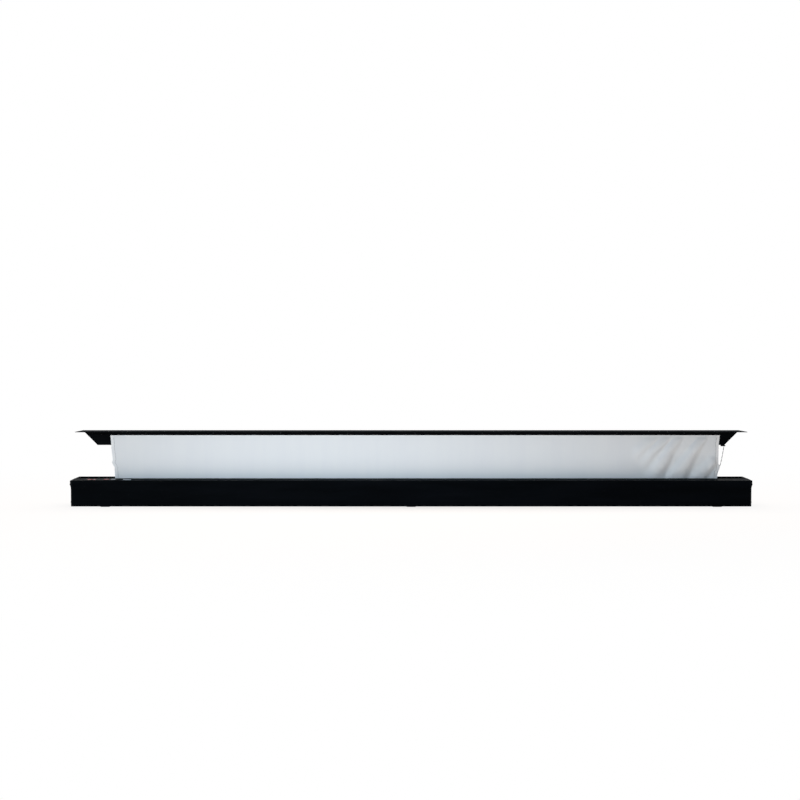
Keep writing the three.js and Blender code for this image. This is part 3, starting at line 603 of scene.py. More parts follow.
def placed(name: str, data: ID) -> Object:
    """Puts a mesh, lamp or camera into the scene.

    Args:
        name: The object's name.
        data: Its mesh, lamp or camera.

    Returns:
        The object.
    """
    made = bpy.data.objects.new(name, data)
    bpy.context.scene.collection.objects.link(made)
    return made


def mesh_data(name: str, mesh: BMesh) -> bpy.types.Mesh:
    """Turns a working mesh into mesh data and frees it.

    Args:
        name: The data's name.
        mesh: The working mesh.

    Returns:
        The mesh data.
    """
    data = bpy.data.meshes.new(name)
    mesh.to_mesh(data)
    mesh.free()
    return data


def bevel(mesh: BMesh, edges: list[BMEdge], width: float, segments: int) -> None:
    """Rounds edges off."""
    bmesh.ops.bevel(
        mesh, geom=edges, offset=width, offset_type="OFFSET", segments=segments, profile=0.5,
        affect="EDGES", clamp_overlap=True, material=-1,
    )


def add_block(mesh: BMesh, low: Point, high: Point, edge: float = 0.0, segments: int = 2) -> None:
    """Adds a block.

    Args:
        mesh: The mesh that takes it.
        low: Its lowest corner.
        high: Its highest corner.
        edge: The radius of its edges.
        segments: The steps in that radius.
    """
    points = bmesh.ops.create_cube(mesh, size=1.0)["verts"]
    lower, upper = Vector(low), Vector(high)
    bmesh.ops.scale(mesh, vec=upper - lower, verts=points)
    bmesh.ops.translate(mesh, vec=(lower + upper) / 2, verts=points)
    if edge:
        bevel(mesh, edges_of(points), edge, segments)


def edges_of(points: list[BMVert]) -> list[BMEdge]:
    """The edges that meet some points, each once."""
    return list(dict.fromkeys(e for v in points for e in v.link_edges))


def add_circle(mesh: BMesh, sides: int, radius: float) -> list[BMVert]:
    """Adds an open ring of points about the origin."""
    return bmesh.ops.create_circle(mesh, cap_ends=False, segments=sides, radius=radius)["verts"]


def join_rings(mesh: BMesh, rings: list[list[BMVert]]) -> None:
    """Bridges each ring to the next and closes both ends.

    Args:
        mesh: The mesh that holds the rings.
        rings: The points of each ring, in order.
    """
    edges = [edges_of(ring) for ring in rings]
    for near, far in zip(edges, edges[1:]):
        bmesh.ops.bridge_loops(mesh, edges=near + far)
    for end in (edges[0], edges[-1]):
        bmesh.ops.edgeloop_fill(mesh, edges=[e for e in end if e.is_boundary])


def add_turned(
    mesh: BMesh, stations: list[tuple[float, float, Drive]], centre: Point, outward: Point,
    sides: int = 24,
) -> list[BMVert]:
    """Adds a closed piece that is round or faceted about an axis.

    Args:
        mesh: The mesh that takes it.
        stations: For each ring, its height on the axis, its reach and its outline.
        centre: Where the axis starts.
        outward: The way it runs.
        sides: The points in each ring.

    Returns:
        Its points.
    """
    rings = []
    for height, reach, outline in stations:
        ring = add_circle(mesh, sides, 1.0)
        for point in ring:
            point.co *= outline.reach(reach, math.atan2(point.co.y, point.co.x))
            point.co.z = height
        rings.append(ring)
    join_rings(mesh, rings)
    points = [point for ring in rings for point in ring]
    facing = Vector(outward).to_track_quat("Z", "Y").to_matrix().to_4x4()
    bmesh.ops.transform(mesh, matrix=Matrix.Translation(centre) @ facing, verts=points)
    return points


@dataclass(frozen=True)
class Head:
    """A fastener's head, in shares of its height and radius.

    Attributes:
        sunk: How deep it starts below the surface, in millimetres.
        neck: Its radius there.
        dome: The (height, radius) of each round ring, from the surface up.
        recess: Those of the rings that go down into its middle.
        driver: The outline of that recess.
        sides: The points in each ring.
    """

    sunk: float
    neck: float
    dome: tuple[Pair, ...]
    recess: tuple[Pair, ...]
    driver: Drive
    sides: int = 24

    def add(self, mesh: BMesh, centre: Point, outward: Point, radius: float, height: float) -> None:
        """Adds one head.

        Args:
            mesh: The mesh that takes it.
            centre: The middle of its foot, on the surface.
            outward: The way it faces.
            radius: Its radius.
            height: Its height.
        """
        stations = [(-self.sunk, radius * self.neck, Drive.ROUND)]
        for rings, outline in ((self.dome, Drive.ROUND), (self.recess, self.driver)):
            stations += [(height * up, radius * out, outline) for up, out in rings]
        add_turned(mesh, stations, centre, outward, self.sides)


# A pan head with a cross recess, a low head with a hexagon socket, and a rivet's dome with the
# small dimple of its pulled stem.
PAN_HEAD = Head(
    0.6, 0.6, ((0.0, 0.96), (0.45, 1.0), (0.85, 0.86), (1.0, 0.66)), ((1.0, 0.58), (0.3, 0.406)),
    Drive.CROSS,
)
SOCKET_HEAD = Head(
    0.6, 0.6, ((0.0, 1.0), (0.5, 0.97), (1.0, 0.72)), ((1.0, 0.45), (0.25, 0.45)), Drive.HEX
)
RIVET_HEAD = Head(
    0.5, 0.7, ((0.0, 1.0), (0.55, 0.86), (1.0, 0.5)), ((0.9, 0.3), (0.5, 0.24)), Drive.ROUND, 16
)


def add_tube(mesh: BMesh, path: list[Vector], radius: float, sides: int) -> None:
    """Adds a closed round tube along a path, without twisting it.

    Args:
        mesh: The mesh that takes it.
        path: The points of its middle line.
        radius: Its radius.
        sides: The points round it.
    """
    facing = Quaternion()
    before = Vector((0, 0, 1))
    rings = []
    for index, point in enumerate(path):
        ahead = path[min(index + 1, len(path) - 1)] - path[max(index - 1, 0)]
        facing = before.rotation_difference(ahead) @ facing
        before = ahead
        ring = add_circle(mesh, sides, radius)
        place = Matrix.Translation(point) @ facing.to_matrix().to_4x4()
        bmesh.ops.transform(mesh, matrix=place, verts=ring)
        rings.append(ring)
    join_rings(mesh, rings)


def add_grid(
    mesh: BMesh, columns: int, rows: int, place: Callable[[float, float], Vector], thickness: float
) -> None:
    """Adds a closed sheet, shaped from a flat grid.

    Args:
        mesh: The mesh that takes it.
        columns: The grid's divisions one way.
        rows: Its divisions the other way.
        place: Gives a point's place from its two shares of the grid.
        thickness: The sheet's thickness, half on each side of that place.
    """
    made = bmesh.ops.create_grid(mesh, x_segments=columns, y_segments=rows, size=1.0)["verts"]
    widest = max(point.co.x for point in made)
    for point in made:
        point.co = place(*((axis / widest + 1) / 2 for axis in point.co.xy))
    faces = list(dict.fromkeys(f for point in made for f in point.link_faces))
    bmesh.ops.recalc_face_normals(mesh, faces=faces)
    mesh.normal_update()
    for point in made:
        point.co += point.normal * thickness / 2
    bmesh.ops.solidify(mesh, geom=faces, thickness=thickness)


def softened(node: str, edge: float) -> BMesh:
    """Copies a CAD node's shape and breaks its sharp edges.

    Args:
        node: The node's name.
        edge: The radius given to each sharp edge.

    Returns:
        The mesh, in millimetres.
    """
    weld = 0.004
    mesh = bmesh.new()
    mesh.from_mesh(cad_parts[node].data)
    bmesh.ops.scale(mesh, vec=even(1 / MM), verts=mesh.verts)
    bmesh.ops.remove_doubles(mesh, verts=mesh.verts, dist=weld)
    bmesh.ops.dissolve_degenerate(mesh, dist=weld, edges=mesh.edges)
    flat = math.radians(0.5)
    bmesh.ops.dissolve_limit(mesh, angle_limit=flat, verts=mesh.verts, edges=mesh.edges)
    sharp = [e for e in mesh.edges if e.is_manifold and e.calc_face_angle(0.0) > SHARP]
    bevel(mesh, sharp, edge, 2)
    return mesh


def piece(
    name: str,
    mesh: BMesh,
    finishes: Finish | list[Finish],
    body: str,
    stands_for: tuple[str, ...] = (),
    recalculate: bool = True,
) -> Object:
    """Finishes a piece: turns its mesh to metres, dresses it and puts it on its body.

    Args:
        name: The piece's name.
        mesh: Its mesh, in millimetres, which is used up.
        finishes: Its finish, or one for each material index.
        body: The CAD body that it rides on, or nothing, which leaves it on no body.
        stands_for: The CAD nodes that it replaces.
        recalculate: Whether its faces still have to be turned outwards.

    Returns:
        The object.
    """
    coats = finishes if isinstance(finishes, list) else [finishes]
    if recalculate:
        bmesh.ops.recalc_face_normals(mesh, faces=mesh.faces)
    bmesh.ops.scale(mesh, vec=even(MM), verts=mesh.verts)
    data = mesh_data(name, mesh)
    data.shade_smooth()
    data.set_sharp_from_angle(angle=SHARP)
    for coat in coats:
        data.materials.append(coat.material())
    made = placed(name, data)
    made.modifiers.new("even_faces", "WEIGHTED_NORMAL").keep_sharp = True
    if stands_for:
        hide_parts(*stands_for)
    if body:
        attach(made, body)
    LOG.info("%s: %d faces on %s", name, len(data.polygons), body or "two bodies")
    return made


def soften_nodes(body: str, finish: Finish, edge: float, *nodes: str) -> None:
    """Replaces CAD nodes of one body with softened copies of the same outline."""
    for node in nodes:
        piece(node + "_shape", softened(node, edge), finish, body, (node,), recalculate=False)


# The photograph's studio


@dataclass
class SoftBox:
    """A rectangular lamp: its place, what it faces, its size in metres, its watts and its beam."""

    name: str
    place: Point
    target: Point
    width: float
    height: float
    power: float
    colour: str
    beam: float = 180.0

    def build(self) -> None:
        """Hangs the lamp and turns it to its target."""
        lamp = bpy.data.lights.new(self.name, "AREA")
        lamp.shape = "RECTANGLE"
        lamp.size = self.width
        lamp.size_y = self.height
        lamp.energy = self.power
        lamp.spread = math.radians(self.beam)
        lamp.color = linear(self.colour)[:3]
        hung = placed(self.name, lamp)
        hung.location = self.place
        aim = Vector(self.target) - Vector(self.place)
        hung.rotation_euler = aim.to_track_quat("-Z", "Y").to_euler()


@dataclass
class Studio:
    """The camera at the photograph's angle, the pale floor and the lamps. Lengths are metres."""

    camera_place: Point = (-0.049, -4.74, 0.625)
    camera_dip: float = 1.881
    sensor_width: float = 36.0
    focal_share: float = 1065.7 / 800
    far_clip: float = 200.0
    floor_reach: float = 24.0
    floor_cells: int = 8
    floor_colour: str = "#F6E6D9"
    world_colour: str = "#E2F1FF"
    world_light: float = 0.2
    shadow_share: float = 0.35
    shadow_reach: Point = (4.2, 2.2, 1.0)
    boxes: tuple[SoftBox, ...] = (
        SoftBox(
            "front_softbox", (-3.1, -4.7, 1.1), (-0.05, 0.0, 0.2), 1.4, 0.9, 13.6, "#E2F2FF", 46.0
        ),
        SoftBox("overhead_softbox", (0.0, 0.9, 4.2), (0.0, 0.5, 0.0), 6.0, 3.6, 290.0, "#FBFCFF"),
    )

    def build(self) -> None:
        """Makes the whole studio."""
        self.camera()
        self.floor()
        self.world()
        for box in self.boxes:
            box.build()
        bpy.context.scene.view_settings.view_transform = "Standard"

    def camera(self) -> None:
        """Sets the camera up level but for a slight dip, as in the photograph."""
        lens = bpy.data.cameras.new("photograph_view")
        lens.sensor_width = self.sensor_width
        lens.lens = self.sensor_width * self.focal_share
        lens.clip_end = self.far_clip
        camera = placed("photograph_view", lens)
        camera.location = self.camera_place
        camera.rotation_euler = (math.radians(90 - self.camera_dip), 0.0, 0.0)
        bpy.context.scene.camera = camera

    def seen(self, tree: NodeTree) -> NodeSocket:
        """1 where the camera, a mirror or glass looks, and 0 where a surface gathers light.

        Args:
            tree: The material's or world's node tree.

        Returns:
            The socket that tells them apart.
        """
        rays = add_node(tree, "LightPath").outputs
        largest = {"operation": "MAXIMUM"}
        links = {0: rays["Is Camera Ray"], 1: rays["Is Glossy Ray"]}
        straight = add_node(tree, "Math", largest, links).outputs[0]
        links = {0: straight, 1: rays["Is Transmission Ray"]}
        return add_node(tree, "Math", largest, links).outputs[0]

    def floor(self) -> None:
        """Lays a pale floor that looks white but keeps the object's shadow."""
        mesh = bmesh.new()
        cells = self.floor_cells
        bmesh.ops.create_grid(mesh, x_segments=cells, y_segments=cells, size=self.floor_reach)
        floor = placed("studio_floor", mesh_data("studio_floor", mesh))
        paint = bpy.data.materials.new("matt_painted_floor")
        tree = emptied(paint)
        matt = add_node(tree, "BsdfDiffuse", {"Color": linear(self.floor_colour)})
        glow = add_node(tree, "Emission", {"Color": linear(WHITE), "Strength": 1.0})
        where = add_node(tree, "TexCoord").outputs["Object"]
        settings = {"vector_type": "TEXTURE", "Scale": self.shadow_reach}
        reach = add_node(tree, "Mapping", settings, {"Vector": where}).outputs[0]
        settings = {"gradient_type": "QUADRATIC_SPHERE"}
        near = add_node(tree, "TexGradient", settings, {"Vector": reach}).outputs["Fac"]
        settings = {"To Min": 1.0, "To Max": 1.0 - self.shadow_share}
        share = add_node(tree, "MapRange", settings, {"Value": near}).outputs[0]
        links = {0: share, 1: matt.outputs[0], 2: glow.outputs[0]}
        lifted = add_node(tree, "MixShader", None, links)
        links = {0: self.seen(tree), 1: matt.outputs[0], 2: lifted.outputs[0]}
        both = add_node(tree, "MixShader", None, links)
        add_node(tree, "OutputMaterial", None, {"Surface": both.outputs[0]})
        floor.data.materials.append(paint)

    def world(self) -> None:
        """Surrounds the scene with white that lights it only weakly."""
        world = bpy.data.worlds.new("studio_surround")
        tree = emptied(world)
        dim, white = [
            add_node(tree, "Background", {"Color": linear(colour), "Strength": light})
            for colour, light in ((self.world_colour, self.world_light), (WHITE, 1.0))
        ]
        links = {0: self.seen(tree), 1: dim.outputs[0], 2: white.outputs[0]}
        both = add_node(tree, "MixShader", None, links)
        add_node(tree, "OutputWorld", None, {"Surface": both.outputs[0]})
        bpy.context.scene.world = world


# The case


@dataclass
class CaseShell:
    """The long case: its profiles, end caps, slot lip, feet and mains inlet."""

    ports: tuple[Point, ...] = (
        (1496.5, -65.5, 22.0), (1500.0, -65.5, 100.0), (1496.5, 65.5, 13.5), (1496.5, 65.5, 48.0),
    )
    screw_radius: float = 3.4
    screw_height: float = 1.9
    blade_x: float = -1482.55
    blade_y: Pair = (21.6, 38.4)
    blade_z: Pair = (34.0, 41.2)
    profile_edge: float = 0.35
    base_edge: float = 0.3
    lip_edge: float = 0.25
    cap_edge: float = 0.7
    foot_edge: float = 0.5
    inlet_edge: float = 0.25

    def build(self) -> None:
        """Makes every piece of the shell."""
        profiles = ("front_profile", "deck_profile", "rear_profile")
        soften_nodes("case", CASE_COAT, self.profile_edge, *profiles)
        soften_nodes("case", MILL_ALUMINIUM, self.base_edge, "base_plate")
        soften_nodes("case", BLACK_ABS, self.lip_edge, "slot_lip")
        soften_nodes("case", BLACK_ABS, self.cap_edge, "left_end_cap", "right_end_cap")
        soften_nodes("case", RUBBER, self.foot_edge, "left_foot", "centre_foot", "right_foot")
        self.inlet()
        self.cap_screws()

    def inlet(self) -> None:
        """The mains inlet, whose blades are metal."""
        mesh = softened("power_inlet", self.inlet_edge)
        (front, back), (foot, top) = self.blade_y, self.blade_z
        for face in mesh.faces:
            spot = face.calc_center_median()
            heights = [point.co.z for point in face.verts]
            inside = spot.x < self.blade_x and front < spot.y < back
            if inside and foot < min(heights) and max(heights) < top:
                face.material_index = 1
        coats = [BLACK_ABS, NICKEL]
        piece("power_inlet_shape", mesh, coats, "case", ("power_inlet",), recalculate=False)

    def cap_screws(self) -> None:
        """Screws that run through each end cap into the profiles' ports."""
        mesh = bmesh.new()
        size = (self.screw_radius, self.screw_height)
        for side in (-1, 1):
            for x, y, z in self.ports:
                PAN_HEAD.add(mesh, (side * x, y, z), (side, 0, 0), *size)
        piece("end_cap_screws", mesh, BLACK_SCREW, "case")


@dataclass
class Controls:
    """The panel on the deck's left end, with its rocker, buttons, marks and bare plate."""

    front_y: float = -70.0
    front_z: float = 117.0
    slope: float = math.radians(2.586)
    middle: float = 30.0
    rocker_x: float = -1412.5
    rocker_half: float = 18.5
    rocker_top: float = 1.3
    rocker_crown: float = 1.0
    mark_offset: float = 9.6
    bar: Pair = (0.7, 3.8)
    ring: Pair = (2.4, 3.8)
    ring_sides: int = 32
    stop_x: float = -1347.0
    stop_half: float = 2.8
    turn_x: float = -1317.5
    arrow_reach: float = 2.3
    arrow_offset: float = 2.4
    button_top: float = 2.0
    plate_low: Point = (-1274.0, 21.0, 0.02)
    plate_high: Point = (-1239.0, 39.0, 0.5)
    plate_edge: float = 0.15
    plate_corner: float = 0.05
    ink: float = 0.08
    panel_edge: float = 0.2
    rocker_edge: float = 0.45
    button_edge: float = 0.4

    def build(self) -> None:
        """Makes every piece of the panel."""
        soften_nodes("case", BLACK_ABS, self.panel_edge, "control_panel")
        soften_nodes("rocker", RED_ABS, self.rocker_edge, "power_rocker")
        soften_nodes("stop", RED_ABS, self.button_edge, "stop_button")
        soften_nodes("turn", GREY_ABS, self.button_edge, "turn_button")
        self.rocker_marks()
        self.button_marks()
        self.bare_plate()

    def deck_piece(self, name: str, mesh: BMesh, finish: Finish, body: str) -> None:
        """Finishes a piece that was measured on the sloping deck.

        Args:
            name: The piece's name.
            mesh: Its mesh, with X and Y on the deck and Z off it.
            finish: Its finish.
            body: The CAD body that it rides on.
        """
        lift = Matrix.Translation((0.0, self.front_y, self.front_z))
        lean = Matrix.Rotation(self.slope, 4, "X")
        bmesh.ops.transform(mesh, matrix=lift @ lean, verts=mesh.verts)
        piece(name, mesh, finish, body)

    def add_oblong(self, mesh: BMesh, x: float, half: Pair, low: float, high: float) -> None:
        """Adds a flat mark about the controls' middle line."""
        front, back = self.middle - half[1], self.middle + half[1]
        add_block(mesh, (x - half[0], front, low), (x + half[0], back, high))

    def rocker_marks(self) -> None:
        """The bar and the ring that any mains rocker has, on its two slopes."""
        mesh = bmesh.new()
        low, high = -self.ink, self.ink
        self.add_oblong(mesh, self.rocker_x - self.mark_offset, self.bar, low, high)
        inner, outer = self.ring
        centre = (self.rocker_x + self.mark_offset, self.middle)
        rings = []
        for reach, height in ((inner, low), (outer, low), (outer, high), (inner, high)):
            ring = add_circle(mesh, self.ring_sides, reach)
            bmesh.ops.translate(mesh, vec=(*centre, height), verts=ring)
            rings.append(edges_of(ring))
        for near, far in zip(rings, rings[1:] + rings[:1]):
            bmesh.ops.bridge_loops(mesh, edges=near + far)
        for point in mesh.verts:
            away = abs(point.co.x - self.rocker_x) / self.rocker_half
            point.co.z += self.rocker_top - self.rocker_crown * (1 - away)
        self.deck_piece("rocker_marks", mesh, WHITE_INK, "rocker")

    def button_marks(self) -> None:
        """A square on the stop button and two arrowheads on the other."""
        low, high = self.button_top - self.ink, self.button_top + self.ink
        mesh = bmesh.new()
        self.add_oblong(mesh, self.stop_x, (self.stop_half, self.stop_half), low, high)
        self.deck_piece("stop_mark", mesh, WHITE_INK, "stop")
        mesh = bmesh.new()
        stations = [(height, self.arrow_reach, Drive.ROUND) for height in (low, high)]
        for way in (-1, 1):
            centre = Vector((self.turn_x, self.middle + way * self.arrow_offset, 0.0))
            points = add_turned(mesh, stations, centre, (0, 0, 1), sides=3)
            tip = max((point.co - centre for point in points), key=lambda arm: way * arm.y)
            turn = Matrix.Rotation(math.atan2(way, 0.0) - math.atan2(tip.y, tip.x), 3, "Z")
            bmesh.ops.rotate(mesh, cent=centre, matrix=turn, verts=points)
        self.deck_piece("turn_marks", mesh, DARK_INK, "turn")

    def bare_plate(self) -> None:
        """The plate beside the panel, left bare."""
        mesh = bmesh.new()
        add_block(mesh, self.plate_low, self.plate_high, self.plate_edge)
        steep = 0.9
        lines = {e: (e.verts[0].co - e.verts[1].co).normalized() for e in mesh.edges}
        upright = [e for e, line in lines.items() if abs(line.z) > steep]
        bevel(mesh, upright, self.plate_corner, 1)
        self.deck_piece("bare_plate", mesh, LABEL_FOIL, "case")


# The roller


@dataclass
class RollerDrive:
    """The roller under the deck: its motor, its holders and the sheet wound on it."""

    axis_y: float = -25.55
    axis_z: float = 45.0
    radii: Pair = (25.4, 28.75)
    pitch: float = 0.38
    thickness: float = 0.3
    ends: Pair = (-1321.0, 1368.0)
    columns: int = 6
    steps_per_turn: int = 48
    bolt_x: float = 1487.2
    bolts: tuple[Pair, ...] = ((-44.5, 15.0), (-6.5, 15.0))
    bolt_radius: float = 3.6
    bolt_height: float = 1.6
    bracket_edge: float = 0.25
    head_edge: float = 0.6
    motor_edge: float = 0.5
    pin_edge: float = 0.4
    roller_edge: float = 0.3
    adapter_edge: float = 0.4

    def build(self) -> None:
        """Makes every piece round the roller."""
        soften_nodes("case", ZINC, self.bracket_edge, "motor_bracket")
        soften_nodes("case", BLACK_ABS, self.head_edge, "motor_head")
        soften_nodes("case", ZINC, self.motor_edge, "motor_tube")
        soften_nodes("case", ZINC, self.bracket_edge, "idler_bracket")
        soften_nodes("case", ZINC, self.pin_edge, "idler_pin")
        soften_nodes("roller", MILL_ALUMINIUM, self.roller_edge, "roller_tube")
        soften_nodes("roller", BLACK_ABS, self.adapter_edge, "drive_adapter")
        self.wound_sheet()
        self.holder_bolts()

    def wound_sheet(self) -> None:
        """The spare sheet, one spiral from the tube out to the slot."""
        inner, outer = self.radii
        turns = (outer - inner) / self.pitch

        def place(across: float, along: float) -> Vector:
            """A point of the spiral, which ends at the back and grows to the outside.

            Args:
                across: Its share of the way from left to right.
                along: Its share of the turns.

            Returns:
                The point.
            """
            angle = (1 - along) * turns * math.tau
            radius = between(inner, outer, along)
            y = self.axis_y + radius * math.cos(angle)
            return Vector((between(*self.ends, across), y, self.axis_z - radius * math.sin(angle)))

        mesh = bmesh.new()
        add_grid(mesh, self.columns, round(turns * self.steps_per_turn), place, self.thickness)
        roll = piece("wound_sheet", mesh, SCREEN_CLOTH, "roller", ("fabric_roll",))

    def holder_bolts(self) -> None:
        """Bolts that hold the two roller holders to the end caps."""
        mesh = bmesh.new()
        size = (self.bolt_radius, self.bolt_height)
        for side in (-1, 1):
            for y, z in self.bolts:
                SOCKET_HEAD.add(mesh, (side * self.bolt_x, y, z), (-side, 0, 0), *size)
        piece("roller_holder_bolts", mesh, ZINC, "case")


# The folding arms


@dataclass
class FoldingArm:
    """One folding arm: bracket, lower arm with its gas spring, elbow, upper arm and wrist."""

    side: str
    sign: int
    shoulder_x: float = 1330.0
    shoulder_z: float = 28.0
    wrist_z: float = 282.7
    lower_y: float = 45.5
    upper_y: float = 21.5
    half_width: float = 9.5
    rivet_inset: Pair = (34.0, 1236.0)
    rivet_rise: float = 7.0
    rivet_radius: float = 2.7
    rivet_height: float = 0.8
    bracket_foot: float = 11.6
    bracket_head: float = 323.2
    bolt_inset: float = 22.0
    bolt_radius: float = 4.4
    bolt_height: float = 1.2
    rod_start: float = 560.5
    bracket_edge: float = 0.3
    pin_edge: float = 0.35
    casting_edge: float = 0.6
    tube_edge: float = 0.25
    spring_edge: float = 0.4

    def build(self) -> None:
        """Makes every piece of this arm."""
        rising, falling = (ARM_RISING, ARM_FALLING) if self.sign < 0 else (ARM_FALLING, ARM_RISING)
        lower, upper = self.side + "_lower_arm", self.side + "_upper_arm"
        for body, finish, edge, node in (
            ("case", ZINC, self.bracket_edge, "shoulder_bracket"),
            ("case", ZINC, self.pin_edge, "shoulder_pin"),
            (lower, CASTING_COAT, self.casting_edge, "shoulder_knuckle"),
            (lower, rising, self.tube_edge, "lower_tube"),
            (lower, CASTING_COAT, self.casting_edge, "lower_elbow"),
            (lower, ZINC, self.pin_edge, "elbow_pin"),
            (upper, CASTING_COAT, self.casting_edge, "upper_elbow"),
            (upper, falling, self.tube_edge, "upper_tube"),
            (upper, CASTING_COAT, self.casting_edge, "wrist_knuckle"),
            ("lid", ZINC, self.bracket_edge, "wrist_bracket"),
            ("lid", ZINC, self.pin_edge, "wrist_pin"),
        ):
            soften_nodes(body, finish, edge, f"{self.side}_{node}")
        self.spring(lower)
        self.tube_rivets(lower, self.shoulder_z, 1, self.lower_y)
        self.tube_rivets(upper, self.wrist_z, -1, self.upper_y)
        self.bracket_bolts("shoulder", "case", (self.lower_y, self.bracket_foot), 1)
        self.bracket_bolts("wrist", "lid", (self.upper_y, self.bracket_head), -1)

    def frame_of(self, pivot_z: float, slope: int) -> Matrix:
        """Turns places measured along an arm, from its outer pivot, into the frame.

        Args:
            pivot_z: The pivot's height.
            slope: 1 where the arm rises inwards, -1 where it falls.

        Returns:
            The matrix.
        """
        angle = slope * REST_ANGLE
        inward = Vector((-self.sign * math.cos(angle), 0.0, math.sin(angle)))
        across = Vector((self.sign * math.sin(angle), 0.0, math.cos(angle)))
        turned = Matrix((inward, Vector((0, 1, 0)), across)).transposed().to_4x4()
        return Matrix.Translation((self.sign * self.shoulder_x, 0.0, pivot_z)) @ turned

    def spring(self, body: str) -> None:
        """The gas spring in the lower arm: a painted cylinder and a chromed rod.

        Args:
            body: The arm's CAD body.
        """
        node = self.side + "_arm_spring"
        mesh = softened(node, self.spring_edge)
        back = self.frame_of(self.shoulder_z, 1).inverted()
        for face in mesh.faces:
            if (back @ face.calc_center_median()).x > self.rod_start:
                face.material_index = 1
        coats = [SPRING_PAINT, CHROME]
        piece(node + "_shape", mesh, coats, body, (node,), recalculate=False)

    def tube_rivets(self, body: str, pivot_z: float, slope: int, middle_y: float) -> None:
        """Rivets that hold each casting's plug in its tube, on both faces.

        Args:
            body: The arm's CAD body.
            pivot_z: The height of its outer pivot.
            slope: 1 where it rises inwards, -1 where it falls.
            middle_y: The tube's middle.
        """
        mesh = bmesh.new()
        size = (self.rivet_radius, self.rivet_height)
        for along in self.rivet_inset:
            for up in (-self.rivet_rise, self.rivet_rise):
                for way in (-1, 1):
                    spot = (along, middle_y + way * self.half_width, up)
                    RIVET_HEAD.add(mesh, spot, (0, way, 0), *size)
        bmesh.ops.transform(mesh, matrix=self.frame_of(pivot_z, slope), verts=mesh.verts)
        piece(body + "_rivets", mesh, ZINC, body)

    def bracket_bolts(self, joint: str, body: str, place: Pair, way: int) -> None:
        """Two low bolts through the plate of a clevis bracket.

        Args:
            joint: The joint's name, for the piece.
            body: The CAD body that takes the bolts.
            place: The y and z of the plate's face.
            way: 1 where they face up, -1 where down.
        """
        mesh = bmesh.new()
        size = (self.bolt_radius, self.bolt_height)
        for offset in (-self.bolt_inset, self.bolt_inset):
            x = self.sign * self.shoulder_x + offset
            SOCKET_HEAD.add(mesh, (x, *place), (0, 0, way), *size)
        piece(f"{self.side}_{joint}_bolts", mesh, ZINC, body)


# The lid


@dataclass
class Lid:
    """The lid: its plate, the channel beam with its caps, the clamp rail and the cord anchors."""

    cap_face_x: float = 1428.05
    cap_face_z: float = 298.5
    cap_screw_y: Pair = (17.0, 49.0)
    screw_radius: float = 3.0
    screw_height: float = 1.6
    rivets_in_row: int = 9
    rivet_radius: float = 2.6
    plate_edge: float = 0.35
    beam_edge: float = 0.3
    cap_edge: float = 0.4
    rail_edge: float = 0.4
    anchor_edge: float = 0.35
    # Each row's left and right end, y, z, the way it faces and its heads' height: first the clamp
    # rail's, then the back of the beam's.
    rivet_rows: tuple[tuple[float, ...], ...] = (
        (-1330.0, 1366.0, -3.0, 322.0, -1, 0.5), (-1380.0, 1380.0, 61.0, 318.0, 1, 0.6),
    )

    def build(self) -> None:
        """Makes every piece of the lid."""
        soften_nodes("lid", LID_COAT, self.plate_edge, "lid_plate")
        soften_nodes("lid", LID_COAT, self.beam_edge, "top_beam")
        soften_nodes("lid", BLACK_ABS, self.cap_edge, "left_beam_cap", "right_beam_cap")
        soften_nodes("lid", LID_COAT, self.rail_edge, "clamp_rail")
        soften_nodes("lid", BLACK_ABS, self.anchor_edge, "left_cord_anchor", "right_cord_anchor")
        self.cap_screws()
        self.rivets()

    def cap_screws(self) -> None:
        """Screws in the slanted caps of the beam."""
        mesh = bmesh.new()
        size = (self.screw_radius, self.screw_height)
        for side in (-1, 1):
            for y in self.cap_screw_y:
                spot = (side * self.cap_face_x, y, self.cap_face_z)
                PAN_HEAD.add(mesh, spot, (side, 0, -1), *size)
        piece("beam_cap_screws", mesh, BLACK_SCREW, "lid")

    def rivets(self) -> None:
        """Flush rivets along the clamp rail, and along the back of the beam."""
        mesh = bmesh.new()
        for left, right, y, z, way, height in self.rivet_rows:
            for index in range(self.rivets_in_row):
                x = between(left, right, (index + 0.5) / self.rivets_in_row)
                RIVET_HEAD.add(mesh, (x, y, z), (0, way, 0), self.rivet_radius, height)
        piece("lid_rivets", mesh, BLACK_SCREW, "lid")


# The sheet


@dataclass(frozen=True)
class Crease:
    """A ridge in the sheet: a long slope up from its left, then a short one down to its right.

    Attributes:
        foot: The (x, z) of the lower end of the short slope's middle.
        head: That of its upper end.
        depth: How far the crest stands forward.
        width: The width of the short slope.
        reach: The width of the long slope.
        ends: The lengths over which it dies away at its foot and its head.
        taper: Its size at its head, as a share of that at its foot.
    """

    foot: Pair
    head: Pair
    depth: float
    width: float
    reach: float
    ends: Pair
    taper: float

    def height(self, x: float, z: float) -> float:
        """How far the ridge stands forward at a point of the sheet.

        Args:
            x: The point's place across.
            z: Its height.

        Returns:
            The distance.
        """
        run = Vector((self.head[0] - self.foot[0], self.head[1] - self.foot[1]))
        from_foot = Vector((x - self.foot[0], z - self.foot[1]))
        along = from_foot.dot(run.normalized())
        right = (from_foot.x * run.y - from_foot.y * run.x) / run.length
        size = between(1.0, self.taper, min(max(along / run.length, 0.0), 1.0))
        side = right / size + self.width / 2
        short, long = rise((self.width, 0.0), side), rise((-self.reach, 0.0), side)
        fade = rise((-self.ends[0], 0.0), along)
        fade *= rise((run.length + self.ends[1], run.length), along)
        return self.depth * size * (short if side > 0 else long) * fade


